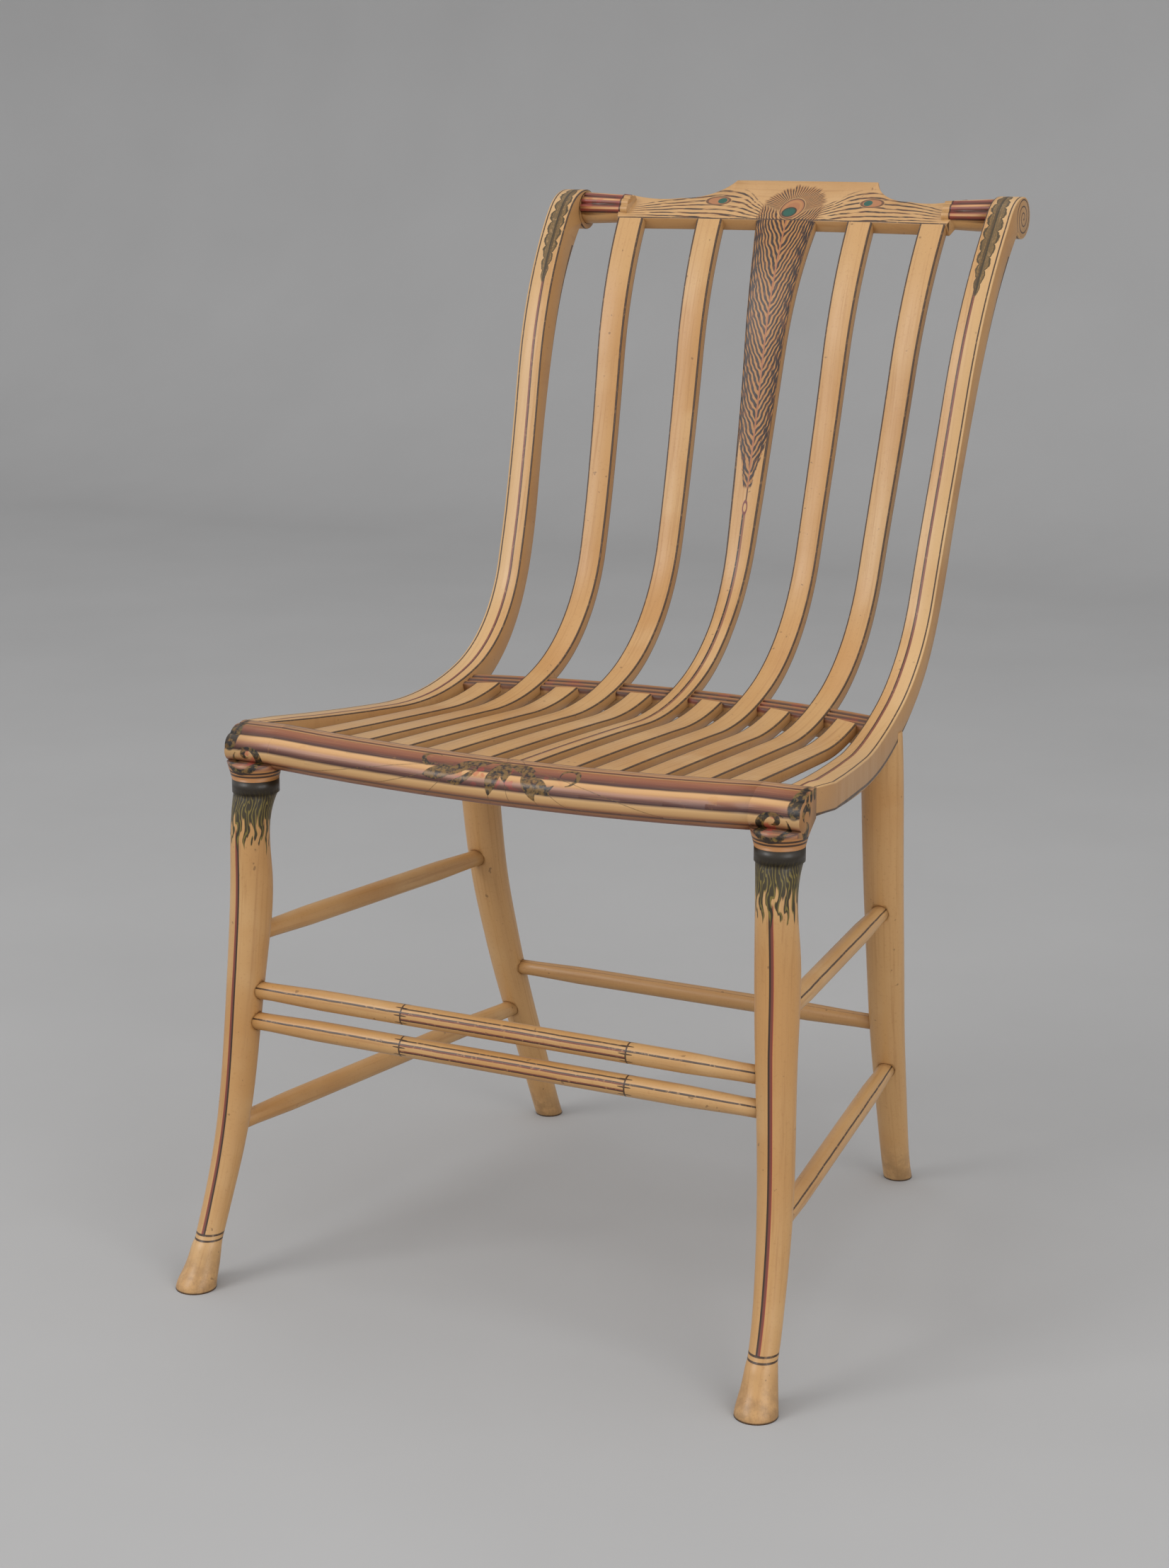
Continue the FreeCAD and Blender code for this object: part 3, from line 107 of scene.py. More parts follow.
def faceLine(x, letIn, drop, withHead):
    # places along the face's line, each with its distance gone, point in the side view and heading
    plan = bentLine
    heading = math.radians(plan["startSlope"])
    bowed = bowShare(x)
    start = Vector((plan["startY"] + plan["bowDepth"] * bowed, plan["startZ"] - plan["dish"] * bowed))
    dip = plan["frontDip"] * (1 - (x / plan["frontHalf"]) ** 2)
    front = Vector((plan["frontY"], plan["frontZ"] - dip - drop))
    chord = math.atan2(start.y - front.y, start.x - front.x)
    frontHeading = 2 * chord - heading
    front = front - Vector((letIn, letIn * math.tan(frontHeading)))
    reach = (start - front).length / 3
    count = round((start - front).length / plan["step"])
    curve = interpolate_bezier(
        front, front + along(frontHeading, reach), start - along(heading, reach), start, count)
    places = []
    for index, point in enumerate(curve):
        places.append((Vector(point), frontHeading + (heading - frontHeading) * index / (count - 1)))
    for index, (radius, degrees) in enumerate(plan["arcs"]):
        turn = math.radians(degrees)
        if index == plan["bendArc"]:
            radius += plan["extraRadius"] * bowed
            turn += math.radians(plan["extraBend"]) * bowed
        places += arcPoints(*places[-1], radius, turn)
    if withHead:
        places += arcPoints(*places[-1], -plan["rollRadius"], -places[-1][1])
        places += arcPoints(*places[-1], -plan["scrollRadius"], -math.radians(plan["scrollTurn"]))
    line = []
    gone = 0.0
    for index, (point, turned) in enumerate(places):
        if index:
            gone += (point - places[index - 1][0]).length
        line.append((gone, point, turned))
    return line


def placeOn(line, gone):
    index = min(max(bisect.bisect([place[0] for place in line], gone), 1), len(line) - 1)
    before, after = line[index - 1], line[index]
    share = (gone - before[0]) / (after[0] - before[0])
    return before[1].lerp(after[1], share), before[2] + (after[2] - before[2]) * share


def reachedAt(line, axis, value):
    # distance gone where the line passes a value, once it is past its first turn
    for before, after in zip(line, line[1:]):
        low, high = before[1][axis], after[1][axis]
        if low <= value < high:
            return before[0] + (after[0] - before[0]) * (value - low) / (high - low)
    return line[-1][0]


def nearestOn(line, point):
    # distance gone and depth under the face of a point in the side view
    index = min(range(len(line)), key=lambda number: (line[number][1] - point).length_squared)
    gone, place, heading = line[index]
    offset = point - place
    return gone + offset.dot(along(heading, 1)), -offset.dot(along(heading + math.pi / 2, 1))


def spreading(inner, outer, length, ease, gone):
    if gone <= 0:
        return inner
    slope = (outer - inner) / (length - ease / 2)
    if gone < ease:
        return inner + slope * gone ** 2 / (2 * ease)
    return inner + slope * (gone - ease / 2)


def edgeAt(knee, front, top, kneeY, y, z, straight=0.0):
    # distance from the middle of an edge of a bent piece at a place in the side view
    plan = bentLine
    if z > plan["kneeZ"]:
        rise = plan["topZ"] - plan["kneeZ"]
        return spreading(knee, top, rise, plan["backEase"], min(z, plan["topZ"]) - plan["kneeZ"])
    edge = spreading(knee, front, kneeY - plan["frontY"] - straight, plan["seatEase"], kneeY - y)
    return min(edge, front) if straight else edge


def finishPiece(name, mesh, materials):
    # the painted piece that takes the place of the plain one of the same name
    piece = bpy.data.objects.new(name + "_piece", mesh)
    bpy.context.scene.collection.objects.link(piece)
    for material in materials:
        piece.data.materials.append(material)
    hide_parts(name)
    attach(piece, "root")


def markPaint(mesh, rules):
    # where each corner of each face lies for the painter, kept as the attribute that the paints read,
    # with one rule for each material of the piece
    marks = mesh.attributes.new("paint", "FLOAT_VECTOR", "CORNER")
    for face in mesh.polygons:
        rule = rules[face.material_index]
        for corner in face.loop_indices:
            marks.data[corner].vector = rule(mesh.vertices[mesh.loops[corner].vertex_index].co, face.normal)


def smoothed(mesh, degrees):
    for face in mesh.polygons:
        face.use_smooth = True
    mesh.set_sharp_from_angle(angle=math.radians(degrees))


# Layers of the ground: paint, scale and detail of its noise, where it starts and is full, strength.
groundCoat = {
    "patches": (("ochre", 7.0, 4.0, 0.42, 0.68, 0.55), ("paleCream", 11.0, 3.0, 0.52, 0.75, 0.5)),
    "streaks": ("brownGlaze", 0.48, 0.78, 0.42), "streakDetail": 5.0, "streakRough": 0.62,
    "specks": (("brownGlaze", 420.0, 2.0, 0.55, 0.8, 0.22), ("grime", 190.0, 1.0, 0.74, 0.79, 0.5)),
    "rubbed": (260.0, 3.0, 0.30, 0.46, 0.7),
    "roughness": 0.34, "roughSpread": 0.16, "roughRange": (0.2, 0.9),
    "streakRelief": 0.6, "grainRelief": 0.25, "grainScale": 900.0, "paintRelief": 0.5,
    "bump": 0.28, "bumpDepth": 0.0004, "coat": 0.12, "coatRoughness": 0.28, "specular": 0.42,
}


# Shader nodes, put down with plain words.
class Brush:
    def __init__(self, name):
        self.material = bpy.data.materials.new(name)
        self.material.use_nodes = True
        self.tree = self.material.node_tree
        self.tree.nodes.clear()
        marks = self.put("Attribute", attribute_name="paint").outputs["Vector"]
        self.first, self.second, self.third = self.put("SeparateXYZ", {0: marks}).outputs
        self.where = self.put("TexCoord").outputs["Object"]
        self.x, self.y, self.z = self.put("SeparateXYZ", {0: self.where}).outputs

    def put(self, kind, inputs=(), **settings):
        node = self.tree.nodes.new("ShaderNode" + kind)
        for name, value in settings.items():
            setattr(node, name, value)
        for name, value in dict(inputs).items():
            if isinstance(value, bpy.types.NodeSocket):
                self.tree.links.new(value, node.inputs[name])
            else:
                node.inputs[name].default_value = value
        return node

    def sum(self, operation, *values):
        return self.put("Math", dict(enumerate(values)), operation=operation).outputs[0]

    def chain(self, operation, first, *others):
        for other in others:
            first = self.sum(operation, first, other)
        return first

    def add(self, *values):
        return self.chain("ADD", *values)

    def times(self, *values):
        return self.chain("MULTIPLY", *values)

    def most(self, *values):
        return self.chain("MAXIMUM", *values)

    def take(self, one, other):
        return self.sum("SUBTRACT", one, other)

    def share(self, one, other):
        return self.sum("DIVIDE", one, other)

    def size(self, value):
        return self.sum("ABSOLUTE", value)

    def sine(self, value):
        return self.sum("SINE", value)

    def flip(self, mask):
        return self.take(1.0, mask)

    def round(self, up, out):
        # angle in degrees
        return self.times(self.sum("ARCTAN2", up, out), halfTurn)

    def fade(self, value, low, high):
        # rises from nothing to all between two values, or falls where they are the other way round
        turned = isinstance(low, float) and isinstance(high, float) and low > high
        ends = {0: value, 1: high if turned else low, 2: low if turned else high}
        ends.update({3: 1.0, 4: 0.0} if turned else {3: 0.0, 4: 1.0})
        return self.put("MapRange", ends, interpolation_type="SMOOTHSTEP").outputs[0]

    def line(self, value, at, half, soft):
        return self.fade(self.size(self.take(value, at)), half + soft, half)

    def vector(self, x, y=0.0, z=0.0):
        return self.put("CombineXYZ", {0: x, 1: y, 2: z}).outputs[0]

    def stretched(self, *sides):
        # a vector of values, each times a number
        return self.vector(*[self.times(value, number) for value, number in sides])

    def noise(self, vector, scale=1.0, detail=2.0, rough=0.5):
        settings = {"Vector": vector, "Scale": scale, "Detail": detail, "Roughness": rough}
        return self.put("TexNoise", settings).outputs[0]

    def patches(self, scale, detail, low, high, rough=0.5):
        return self.fade(self.noise(self.where, scale, detail, rough), low, high)

    def shaken(self, vector, amount, scale=1.0, detail=2.0, rough=0.5):
        # noise that goes both ways from nothing
        return self.times(self.take(self.noise(vector, scale, detail, rough), 0.5), amount)

    def over(self, under, colour, mask):
        return self.put("Mix", {0: mask, 6: under, 7: colour}, data_type="RGBA").outputs[2]

    def paint(self, under, name, *masks):
        # a paint laid over, as strong as all its masks together
        return self.over(under, paints[name], self.times(*masks))

    def ramp(self, value, rows):
        # rows of a place and the colour there, or the name of its paint
        stops = [(at, paints[colour[0]] if len(colour) == 1 else tone(*colour)) for at, *colour in rows]
        node = self.put("ValToRGB", {0: value})
        elements = node.color_ramp.elements
        elements[0].position, elements[0].color = stops[0]
        elements[1].position, elements[1].color = stops[-1]
        for position, colour in stops[1:-1]:
            elements.new(position).color = colour
        return node.outputs[0]

    def curve(self, value, points):
        node = self.put("FloatCurve", {1: value})
        track = node.mapping.curves[0]
        track.points[0].location, track.points[1].location = points[0], points[-1]
        for place in points[1:-1]:
            track.points.new(*place)
        node.mapping.update()
        return node.outputs[0]

    def oval(self, x, y, middle, radii):
        # distance from a middle, as a share of the radii
        across = self.share(self.take(x, middle[0]), radii[0])
        up = self.share(self.take(y, middle[1]), radii[1])
        return self.sum("SQRT", self.add(self.times(across, across), self.times(up, up)))

    def layered(self, colour, layers):
        for name, scale, detail, low, high, strength in layers:
            colour = self.paint(colour, name, self.patches(scale, detail, low, high), strength)
        return colour

    def ground(self, grain):
        # cream paint, brushed on and yellowed unevenly, under a thin brown glaze
        coat = groundCoat
        colour = self.layered(paints["cream"], coat["patches"])
        self.streaks = self.noise(grain, 1.0, coat["streakDetail"], coat["streakRough"])
        name, low, high, strength = coat["streaks"]
        colour = self.paint(colour, name, self.fade(self.streaks, low, high), strength)
        return self.layered(colour, coat["specks"])

    def rings(self, colour, value, rows, within):
        # paints laid where a value falls: name, where each starts and is full, strength
        for name, low, high, strength in rows:
            colour = self.paint(colour, name, self.fade(value, low, high), within, strength)
        return colour

    def worn(self, mask, amount=0.55):
        # a painted mark with thin and rubbed places
        rubbed = self.patches(*groundCoat["rubbed"])
        return self.times(mask, self.add(self.times(rubbed, amount), 1 - amount))

    def ruled(self, colour, value, marks, within=1.0):
        # painted lines: place, half width, softness, paint, wear and strength of each
        masks = []
        for at, half, soft, name, wear, strength in marks:
            masks.append(self.worn(self.line(value, at, half, soft), wear))
            colour = self.paint(colour, name, masks[-1], within, strength)
        return colour, masks

    def done(self, colour, painted=None):
        coat = groundCoat
        gloss = self.fade(self.streaks, *coat["roughRange"])
        rough = self.add(self.times(gloss, coat["roughSpread"]), coat["roughness"])
        grain = self.times(self.noise(self.where, coat["grainScale"]), coat["grainRelief"])
        relief = self.add(self.times(self.streaks, coat["streakRelief"]), grain)
        if painted is not None:
            relief = self.add(relief, self.times(painted, coat["paintRelief"]))
        bump = self.put("Bump", {"Strength": coat["bump"], "Distance": coat["bumpDepth"], "Height": relief})
        shader = self.put("BsdfPrincipled", {
            "Base Color": colour, "Roughness": rough, "Normal": bump.outputs[0], "Coat Weight": coat["coat"],
            "Coat Roughness": coat["coatRoughness"], "Specular IOR Level": coat["specular"]})
        out = self.put("OutputMaterial", {0: shader.outputs[0]})
        out.is_active_output = True
        return self.material


bentCoat = {"along": 7.0, "across": 420.0, "up": 9.0, "sideEdge": (1.0, 1.06), "sideStrength": 0.5}


def bentGround(brush):
    # ground of a flat bent piece, with a yellowed glaze and painted shade darkening its sides and back
    plan = bentCoat
    grain = brush.stretched((brush.first, plan["along"]), (brush.x, plan["across"]), (brush.z, plan["up"]))
    side = brush.fade(brush.size(brush.second), *plan["sideEdge"])
    return brush.paint(brush.ground(grain), "sideGlazeAndShade", side, plan["sideStrength"])


# Slats.
slatPlan = {
    "thickness": 0.0095, "arris": 0.0009, "rounds": 2,
    "frontWidth": 0.0233, "kneeWidth": 0.0206, "topWidth": 0.0242,
    "frontPitch": 0.0368, "kneePitch": 0.0333, "topPitch": 0.0363,
    "middleFront": 0.025, "middleKnee": 0.0203, "backSpread": 0.022, "headSpread": 0.0152, "headPower": 6,
    "letIn": 0.006, "turnShare": 0.4, "shortEndY": 0.0137, "scribed": 0.001, "piecesPerMetre": 160,
    "lines": ((0.93, 0.06, 0.03, "dark", 0.25, 0.92), (1.93, 0.05, 0.04, "dark", 0.3, 0.7)),
    "wander": 0.03, "wanderPitch": 30.0,
}


def slatPaint(name):
    plan = slatPlan
    brush = Brush(name)
    colour = bentGround(brush)
    wander = brush.shaken(brush.stretched((brush.first, plan["wanderPitch"]), (brush.x, 1.0)), plan["wander"])
    across = brush.add(brush.size(brush.second), wander)
    colour, masks = brush.ruled(colour, across, plan["lines"])
    return brush, colour, masks[0]


def plainSlatPaint():
    brush, colour, edge = slatPaint("slat_paint")
    return brush.done(colour, edge)


# The feather on the middle slat. Its lines and barbs are measured across the slat and up from the floor.
feather = {
    "pitch": 0.0080, "rise": 1.45, "curl": 38.0, "shakeAcross": 55.0, "shakeUp": 80.0, "shake": 2.0,
    "stroke": (-0.35, 0.15), "hairPitch": 0.0152, "hairRise": 5.5, "hairStart": (0.55, 0.8),
    "foot": (0.603, 0.607), "widens": (0.597, 0.668), "narrow": 0.25, "rim": (1.14, 0.96),
    "raggedAcross": 60.0, "raggedUp": 260.0, "ragged": 0.5, "wash": 0.9, "shade": (160.0, 2.0, 0.32, 0.48),
    "quill": (0.0008, 0.0006, 0.0003), "stem": (0.001, 0.0005, 0.0003), "stemFoot": (0.593, 0.594),
    "loop": (0.0006, 0.5875), "loopRadii": (0.0019, 0.0052), "loopLine": (1.0, 0.2, 0.15),
    "lineTop": (0.584, 0.582), "plumLine": (0.0011, 0.0008, 0.0003), "plumStrength": 0.75,
    "darkLine": (-0.0004, 0.00055, 0.0003), "face": (1.0, 0.97),
}


def featherBarbs(brush, x, up, pitch, rise):
    # barbs that leave the quill upwards and outwards
    plan = feather
    shake = brush.shaken(brush.stretched((x, plan["shakeAcross"]), (up, plan["shakeUp"])), plan["shake"])
    out = brush.size(x)
    climb = brush.times(out, brush.add(brush.times(out, plan["curl"]), rise))
    turned = brush.add(brush.share(brush.take(up, climb), pitch), shake)
    return brush.fade(brush.sine(brush.times(turned, 2 * math.pi)), *plan["stroke"])


def featherShade(brush, scale, detail, low, high):
    return brush.over(paints["feather"], paints["dark"], brush.patches(scale, detail, low, high))


def featherPaint():
    plan = feather
    brush, colour, edge = slatPaint("feather_slat_paint")
    wide = brush.size(brush.second)
    face = brush.fade(wide, *plan["face"])
    x, z = brush.x, brush.z
    low = brush.times(brush.fade(z, *plan["lineTop"]), face)
    colour = brush.paint(colour, "plum", brush.line(x, *plan["plumLine"]), low, plan["plumStrength"])
    colour = brush.paint(colour, "dark", brush.worn(brush.line(x, *plan["darkLine"])), low)
    loop = brush.line(brush.oval(x, z, plan["loop"], plan["loopRadii"]), *plan["loopLine"])
    colour = brush.paint(colour, "plum", loop, face)
    stem = brush.times(brush.line(x, *plan["stem"]), brush.fade(z, *plan["stemFoot"]))
    colour = brush.paint(colour, "feather", stem, face)
    grow = brush.add(brush.times(brush.fade(z, *plan["widens"]), 1 - plan["narrow"]), plan["narrow"])
    ragged = brush.shaken(brush.stretched((x, plan["raggedAcross"]), (z, plan["raggedUp"])), plan["ragged"])
    share = brush.add(brush.share(wide, grow), ragged)
    inside = brush.times(brush.fade(share, *plan["rim"]), brush.fade(z, *plan["foot"]), face)
    colour = brush.paint(colour, "featherWash", inside, plan["wash"])
    barbs = featherBarbs(brush, x, z, plan["pitch"], plan["rise"])
    hairs = featherBarbs(brush, x, z, plan["hairPitch"], plan["hairRise"])
    hairs = brush.times(hairs, brush.fade(share, *plan["hairStart"]))
    barbs = brush.times(brush.most(barbs, hairs), inside)
    colour = brush.over(colour, featherShade(brush, *plan["shade"]), barbs)
    colour = brush.paint(colour, "russet", brush.line(x, *plan["quill"]), inside)
    return brush.done(colour, brush.most(edge, barbs))


def slatHalfAndMiddle(place, y, z, kneeY):
    plan = slatPlan
    if place == 0:
        if z <= bentLine["kneeZ"]:
            return edgeAt(plan["middleKnee"] / 2, plan["middleFront"] / 2, 0, kneeY, y, z), 0.0
        share = (z - bentLine["kneeZ"]) / (bentLine["topZ"] - bentLine["kneeZ"])
        spread = plan["backSpread"] * share + plan["headSpread"] * share ** plan["headPower"]
        return (plan["middleKnee"] + spread) / 2, 0.0
    edges = []
    for sign in (-1, 1):
        knee, front, top = [
            place * plan[where + "Pitch"] + sign * plan[where + "Width"] / 2
            for where in ("knee", "front", "top")]
        edges.append(edgeAt(knee, front, top, kneeY, y, z))
    return (edges[1] - edges[0]) / 2, (edges[0] + edges[1]) / 2


def longEdges(bar, length):
    return [edge for edge in bar.edges if abs(edge.verts[0].co.x - edge.verts[1].co.x) > length / 2]


def dividedBar(name, length):
    # a straight bar with eased arrises, divided along its length, with its face on top
    plan = slatPlan
    bar = bmesh.new()
    bmesh.ops.create_cube(bar, size=1.0)
    bmesh.ops.scale(bar, vec=(length, plan["kneeWidth"], plan["thickness"]), verts=bar.verts)
    bmesh.ops.translate(bar, vec=(length / 2, 0, -plan["thickness"] / 2), verts=bar.verts)
    bmesh.ops.bevel(
        bar, geom=longEdges(bar, length), offset=plan["arris"], segments=plan["rounds"], profile=0.5,
        affect="EDGES", material=-1)
    bmesh.ops.subdivide_edges(
        bar, edges=longEdges(bar, length), cuts=round(length * plan["piecesPerMetre"]), use_grid_fill=True)
    bmesh.ops.recalc_face_normals(bar, faces=bar.faces)
    mesh = bpy.data.meshes.new(name)
    bar.to_mesh(mesh)
    bar.free()
    return mesh


def onBar(point, normal):
    # the second number goes from -1 to 1 across the face, to 2 down the sides, and is 3 on the back
    if abs(normal.z) > 0.3:
        return (point.x, 2 * point.y / slatPlan["kneeWidth"] if normal.z > 0 else 3.0, 0.0)
    return (point.x, math.copysign(1 - point.z / slatPlan["thickness"], point.y), 0.0)


def bentSlat(name, place, side, material):
    # the bar bent to its line
    plan = slatPlan
    x = place * plan["kneePitch"]
    line = faceLine(x, plan["letIn"], bentLine["slatDrop"], False)
    lean = math.tan(plan["turnShare"] * math.atan(2 * bentLine["bowDepth"] * x / bentLine["bowHalf"] ** 2))
    kneeY = bentLine["kneeY"] + bentLine["bowDepth"] * bowShare(x)
    if place % 2:
        end = reachedAt(line, 0, plan["shortEndY"] + bentLine["bowDepth"] * bowShare(x))
    else:
        end = reachedAt(line, 1, bentLine["topZ"])
    mesh = dividedBar(name, end)
    markPaint(mesh, [onBar])
    for vertex in mesh.vertices:
        gone = vertex.co.x
        spot, heading = placeOn(line, gone)
        half, middle = slatHalfAndMiddle(place, spot.x, spot.y, kneeY)
        across = middle + half * 2 * vertex.co.y / plan["kneeWidth"]
        if place % 2 and gone > end - plan["scribed"]:
            bowed = bentLine["bowDepth"] * (bowShare(across) - bowShare(x))
            spot, heading = placeOn(line, gone + bowed + lean * (across - x))
        point = spot - along(heading + math.pi / 2, -vertex.co.z)
        vertex.co = Vector((side * across, point.x - lean * (across - x), point.y))
    if side < 0:
        mesh.flip_normals()
    smoothed(mesh, 50)
    finishPiece(name, mesh, [material])


slatMaterial = plainSlatPaint()
bentSlat("back_slat_middle", 0, 1, featherPaint())
slatNames = {
    2: "back_slat_inner", 4: "back_slat_outer",
    1: "seat_slat_inner", 3: "seat_slat_centre", 5: "seat_slat_outer"}
for place, stem in slatNames.items():
    bentSlat(stem + "_left", place, 1, slatMaterial)
    bentSlat(stem + "_right", place, -1, slatMaterial)
print("slats bent")

# How a joiner's piece is cleaned up before it is painted.
clean = {"weld": 0.00001, "flat": 0.4, "sharp": 35, "rounds": 2, "smooth": 40}


def carvedCopy(name, ease, angle=clean["sharp"]):
    # the joiner's piece with its arrises eased
    shape = bmesh.new()
    shape.from_mesh(nodes[name].data)
    bmesh.ops.remove_doubles(shape, verts=shape.verts, dist=clean["weld"])
    bmesh.ops.recalc_face_normals(shape, faces=shape.faces)
    if ease:
        bmesh.ops.dissolve_limit(
            shape, angle_limit=math.radians(clean["flat"]), verts=shape.verts, edges=shape.edges,
            delimit={"NORMAL"})
        sharp = [edge for edge in shape.edges
                 if len(edge.link_faces) == 2 and edge.calc_face_angle() > math.radians(angle)
                 and edge.calc_length() > ease]
        bmesh.ops.bevel(
            shape, geom=sharp, offset=ease, segments=clean["rounds"], profile=0.5, affect="EDGES",
            material=-1, clamp_overlap=False)
    mesh = bpy.data.meshes.new(name)
    shape.to_mesh(mesh)
    shape.free()
    smoothed(mesh, clean["smooth"])
    return mesh


# Side rails: seat rail, stile and scroll in one. Lines run along the face and sides, leaves at the head.
sideRail = {
    "kneeInner": 0.1848, "kneeOuter": 0.208, "frontInner": 0.227, "frontOuter": 0.2475, "straight": 0.038,
    "topInner": 0.198, "topOuter": 0.221, "thickness": 0.022, "arris": 0.0009,
    "wander": 0.035, "wanderPitch": 26.0, "face": (1.0, 0.985), "pale": (-0.2, 0.0), "paleStrength": 0.45,
    "lines": (
        (-0.95, 0.05, 0.025, "dark", 0.25, 0.92), (-0.26, 0.035, 0.025, "dark", 0.25, 0.95),
        (-0.16, 0.06, 0.025, "plum", 0.25, 0.9), (0.80, 0.045, 0.025, "dark", 0.25, 0.92),
        (1.95, 0.04, 0.025, "dark", 0.25, 0.9), (-1.95, 0.04, 0.025, "dark", 0.25, 0.8)),
    "leafGap": 0.004, "leafLength": 0.112, "leafPitch": 0.0128, "leafMiddle": -0.12, "leafHalf": 0.66,
    "leafTaper": ((0.0, 0.55), (0.2, 0.9), (0.45, 1.0), (0.8, 0.62), (1.0, 0.05)),
    "leafOffset": 0.45, "lobeRound": 0.55, "lobeDepth": 0.42, "lobeFloor": 0.56,
    "fray": 0.55, "frayScale": 210.0, "frayDetail": 3.0, "frayRough": 0.6,
    "stripEnds": ((1.0, 0.97), (-0.06, 0.0)), "halves": (-0.01, 0.01), "thinnest": 0.001, "rim": (1.04, 0.9),
    "veinPitch": 1900.0, "veinSlant": -9.0, "veinStroke": (0.2, 0.8), "veins": 0.6,
    "streakAlong": 90.0, "streakAcross": 9.0, "streakDetail": 3.0, "streakStroke": (0.35, 0.6),
    "streaks": 0.75, "leafWear": 0.35, "leafStrength": 0.86,
    "leafLine": (0.95, 0.09, 0.08), "leafStem": (0.0, 0.05, 0.05), "leafLines": 0.8,
    "onEnd": (1.0, 1.02), "spiralStrength": 0.9, "facing": 0.35, "sideways": 0.7,
    "spiralPitch": 0.0056, "spiralLine": (0.5, 0.085, 0.05), "spiralRim": (0.0176, 0.0172),
}
sideLine = faceLine(bentLine["bowHalf"], 0.0, 0.0, True)
crownGone = next(gone for gone, point, heading in sideLine if heading <= 0.0 and point.y > bentLine["topZ"])
crown = placeOn(sideLine, crownGone)[0]
scrollMiddle = (crown.x, crown.y - bentLine["scrollRadius"])


def leafStrip(brush, colour, face):
    # the leaf strip at the head of the stile, which hides the lines under it
    plan = sideRail
    t = brush.share(brush.take(crownGone - plan["leafGap"], brush.first), plan["leafLength"])
    inStrip = brush.times(*[brush.fade(t, *end) for end in plan["stripEnds"]], face)
    lean = brush.take(brush.second, plan["leafMiddle"])
    wide = brush.size(lean)
    offset = brush.times(brush.fade(lean, *plan["halves"]), plan["leafOffset"])
    cell = brush.sum("FRACT", brush.add(brush.share(brush.first, plan["leafPitch"]), offset))
    lobe = brush.sum("POWER", brush.sine(brush.times(cell, math.pi)), plan["lobeRound"])
    frayed = brush.shaken(brush.where, plan["fray"], plan["frayScale"], plan["frayDetail"], plan["frayRough"])
    reach = brush.add(brush.times(lobe, plan["lobeDepth"]), frayed, plan["lobeFloor"])
    width = brush.times(brush.curve(t, plan["leafTaper"]), reach, plan["leafHalf"])
    share = brush.share(wide, brush.most(width, plan["thinnest"]))
    leaf = brush.times(brush.fade(share, *plan["rim"]), inStrip)
    slant = brush.add(brush.times(brush.first, plan["veinPitch"]), brush.times(wide, plan["veinSlant"]))
    veins = brush.times(brush.fade(brush.sine(slant), *plan["veinStroke"]), plan["veins"])
    run = brush.stretched((brush.first, plan["streakAlong"]), (lean, plan["streakAcross"]))
    streaky = brush.fade(brush.noise(run, 1.0, plan["streakDetail"]), *plan["streakStroke"])
    streaky = brush.times(streaky, plan["streaks"])
    green = brush.over(paints["olive"], paints["deepOlive"], brush.most(veins, streaky))
    colour = brush.over(colour, green, brush.times(brush.worn(leaf, plan["leafWear"]), plan["leafStrength"]))
    for mask in (brush.line(share, *plan["leafLine"]), brush.line(lean, *plan["leafStem"])):
        colour = brush.paint(colour, "deepOlive", mask, inStrip, plan["leafLines"])
    return colour, leaf


def scrollSpiral(brush, colour):
    plan = sideRail
    away = brush.oval(brush.y, brush.z, scrollMiddle, (1.0, 1.0))
    turned = brush.sum("ARCTAN2", brush.take(brush.z, scrollMiddle[1]), brush.take(brush.y, scrollMiddle[0]))
    phase = brush.sum("FRACT", brush.take(
        brush.share(away, plan["spiralPitch"]), brush.share(turned, 2 * math.pi)))
    onEnd = brush.times(
        brush.fade(brush.size(brush.second), *plan["onEnd"]), brush.fade(away, *plan["spiralRim"]))
    spiral = brush.line(phase, *plan["spiralLine"])
    return brush.paint(colour, "dark", spiral, onEnd, plan["spiralStrength"])


def sideRailPaint():
    plan = sideRail
    brush = Brush("side_rail_paint")
    colour = bentGround(brush)
    wander = brush.shaken(brush.stretched((brush.first, plan["wanderPitch"]), (brush.x, 1.0)), plan["wander"])
    across = brush.add(brush.second, wander)
    face = brush.fade(brush.size(brush.second), *plan["face"])
    colour = brush.paint(colour, "paleCream", brush.fade(across, *plan["pale"]), face, plan["paleStrength"])
    colour, masks = brush.ruled(colour, across, plan["lines"])
    colour, leaf = leafStrip(brush, colour, face)
    return brush.done(scrollSpiral(brush, colour), brush.most(*masks, leaf))


def onSideRail(point, normal):
    # as on a slat: face from -1 to 1, sides to 2, back 3
    plan = sideRail
    spot = (bentLine["kneeY"], point.y, point.z)
    inner = edgeAt(plan["kneeInner"], plan["frontInner"], plan["topInner"], *spot)
    outer = edgeAt(plan["kneeOuter"], plan["frontOuter"], plan["topOuter"], *spot, plan["straight"])
    share = max(-1.0, min(1.0, (2 * abs(point.x) - inner - outer) / (outer - inner)))
    gone, depth = nearestOn(sideLine, Vector((point.y, point.z)))
    heading = placeOn(sideLine, min(max(gone, 0.0), sideLine[-1][0]))[1]
    up = Vector((normal.y, normal.z)).dot(along(heading + math.pi / 2, 1))
    if up > plan["facing"]:
        return (gone, share, 0.0)
    if up < -plan["facing"] and abs(normal.x) < plan["sideways"]:
        return (gone, 3.0, 0.0)
    return (gone, math.copysign(plan["onEnd"][1] + max(0.0, min(1.0, depth / plan["thickness"])), share), 0.0)


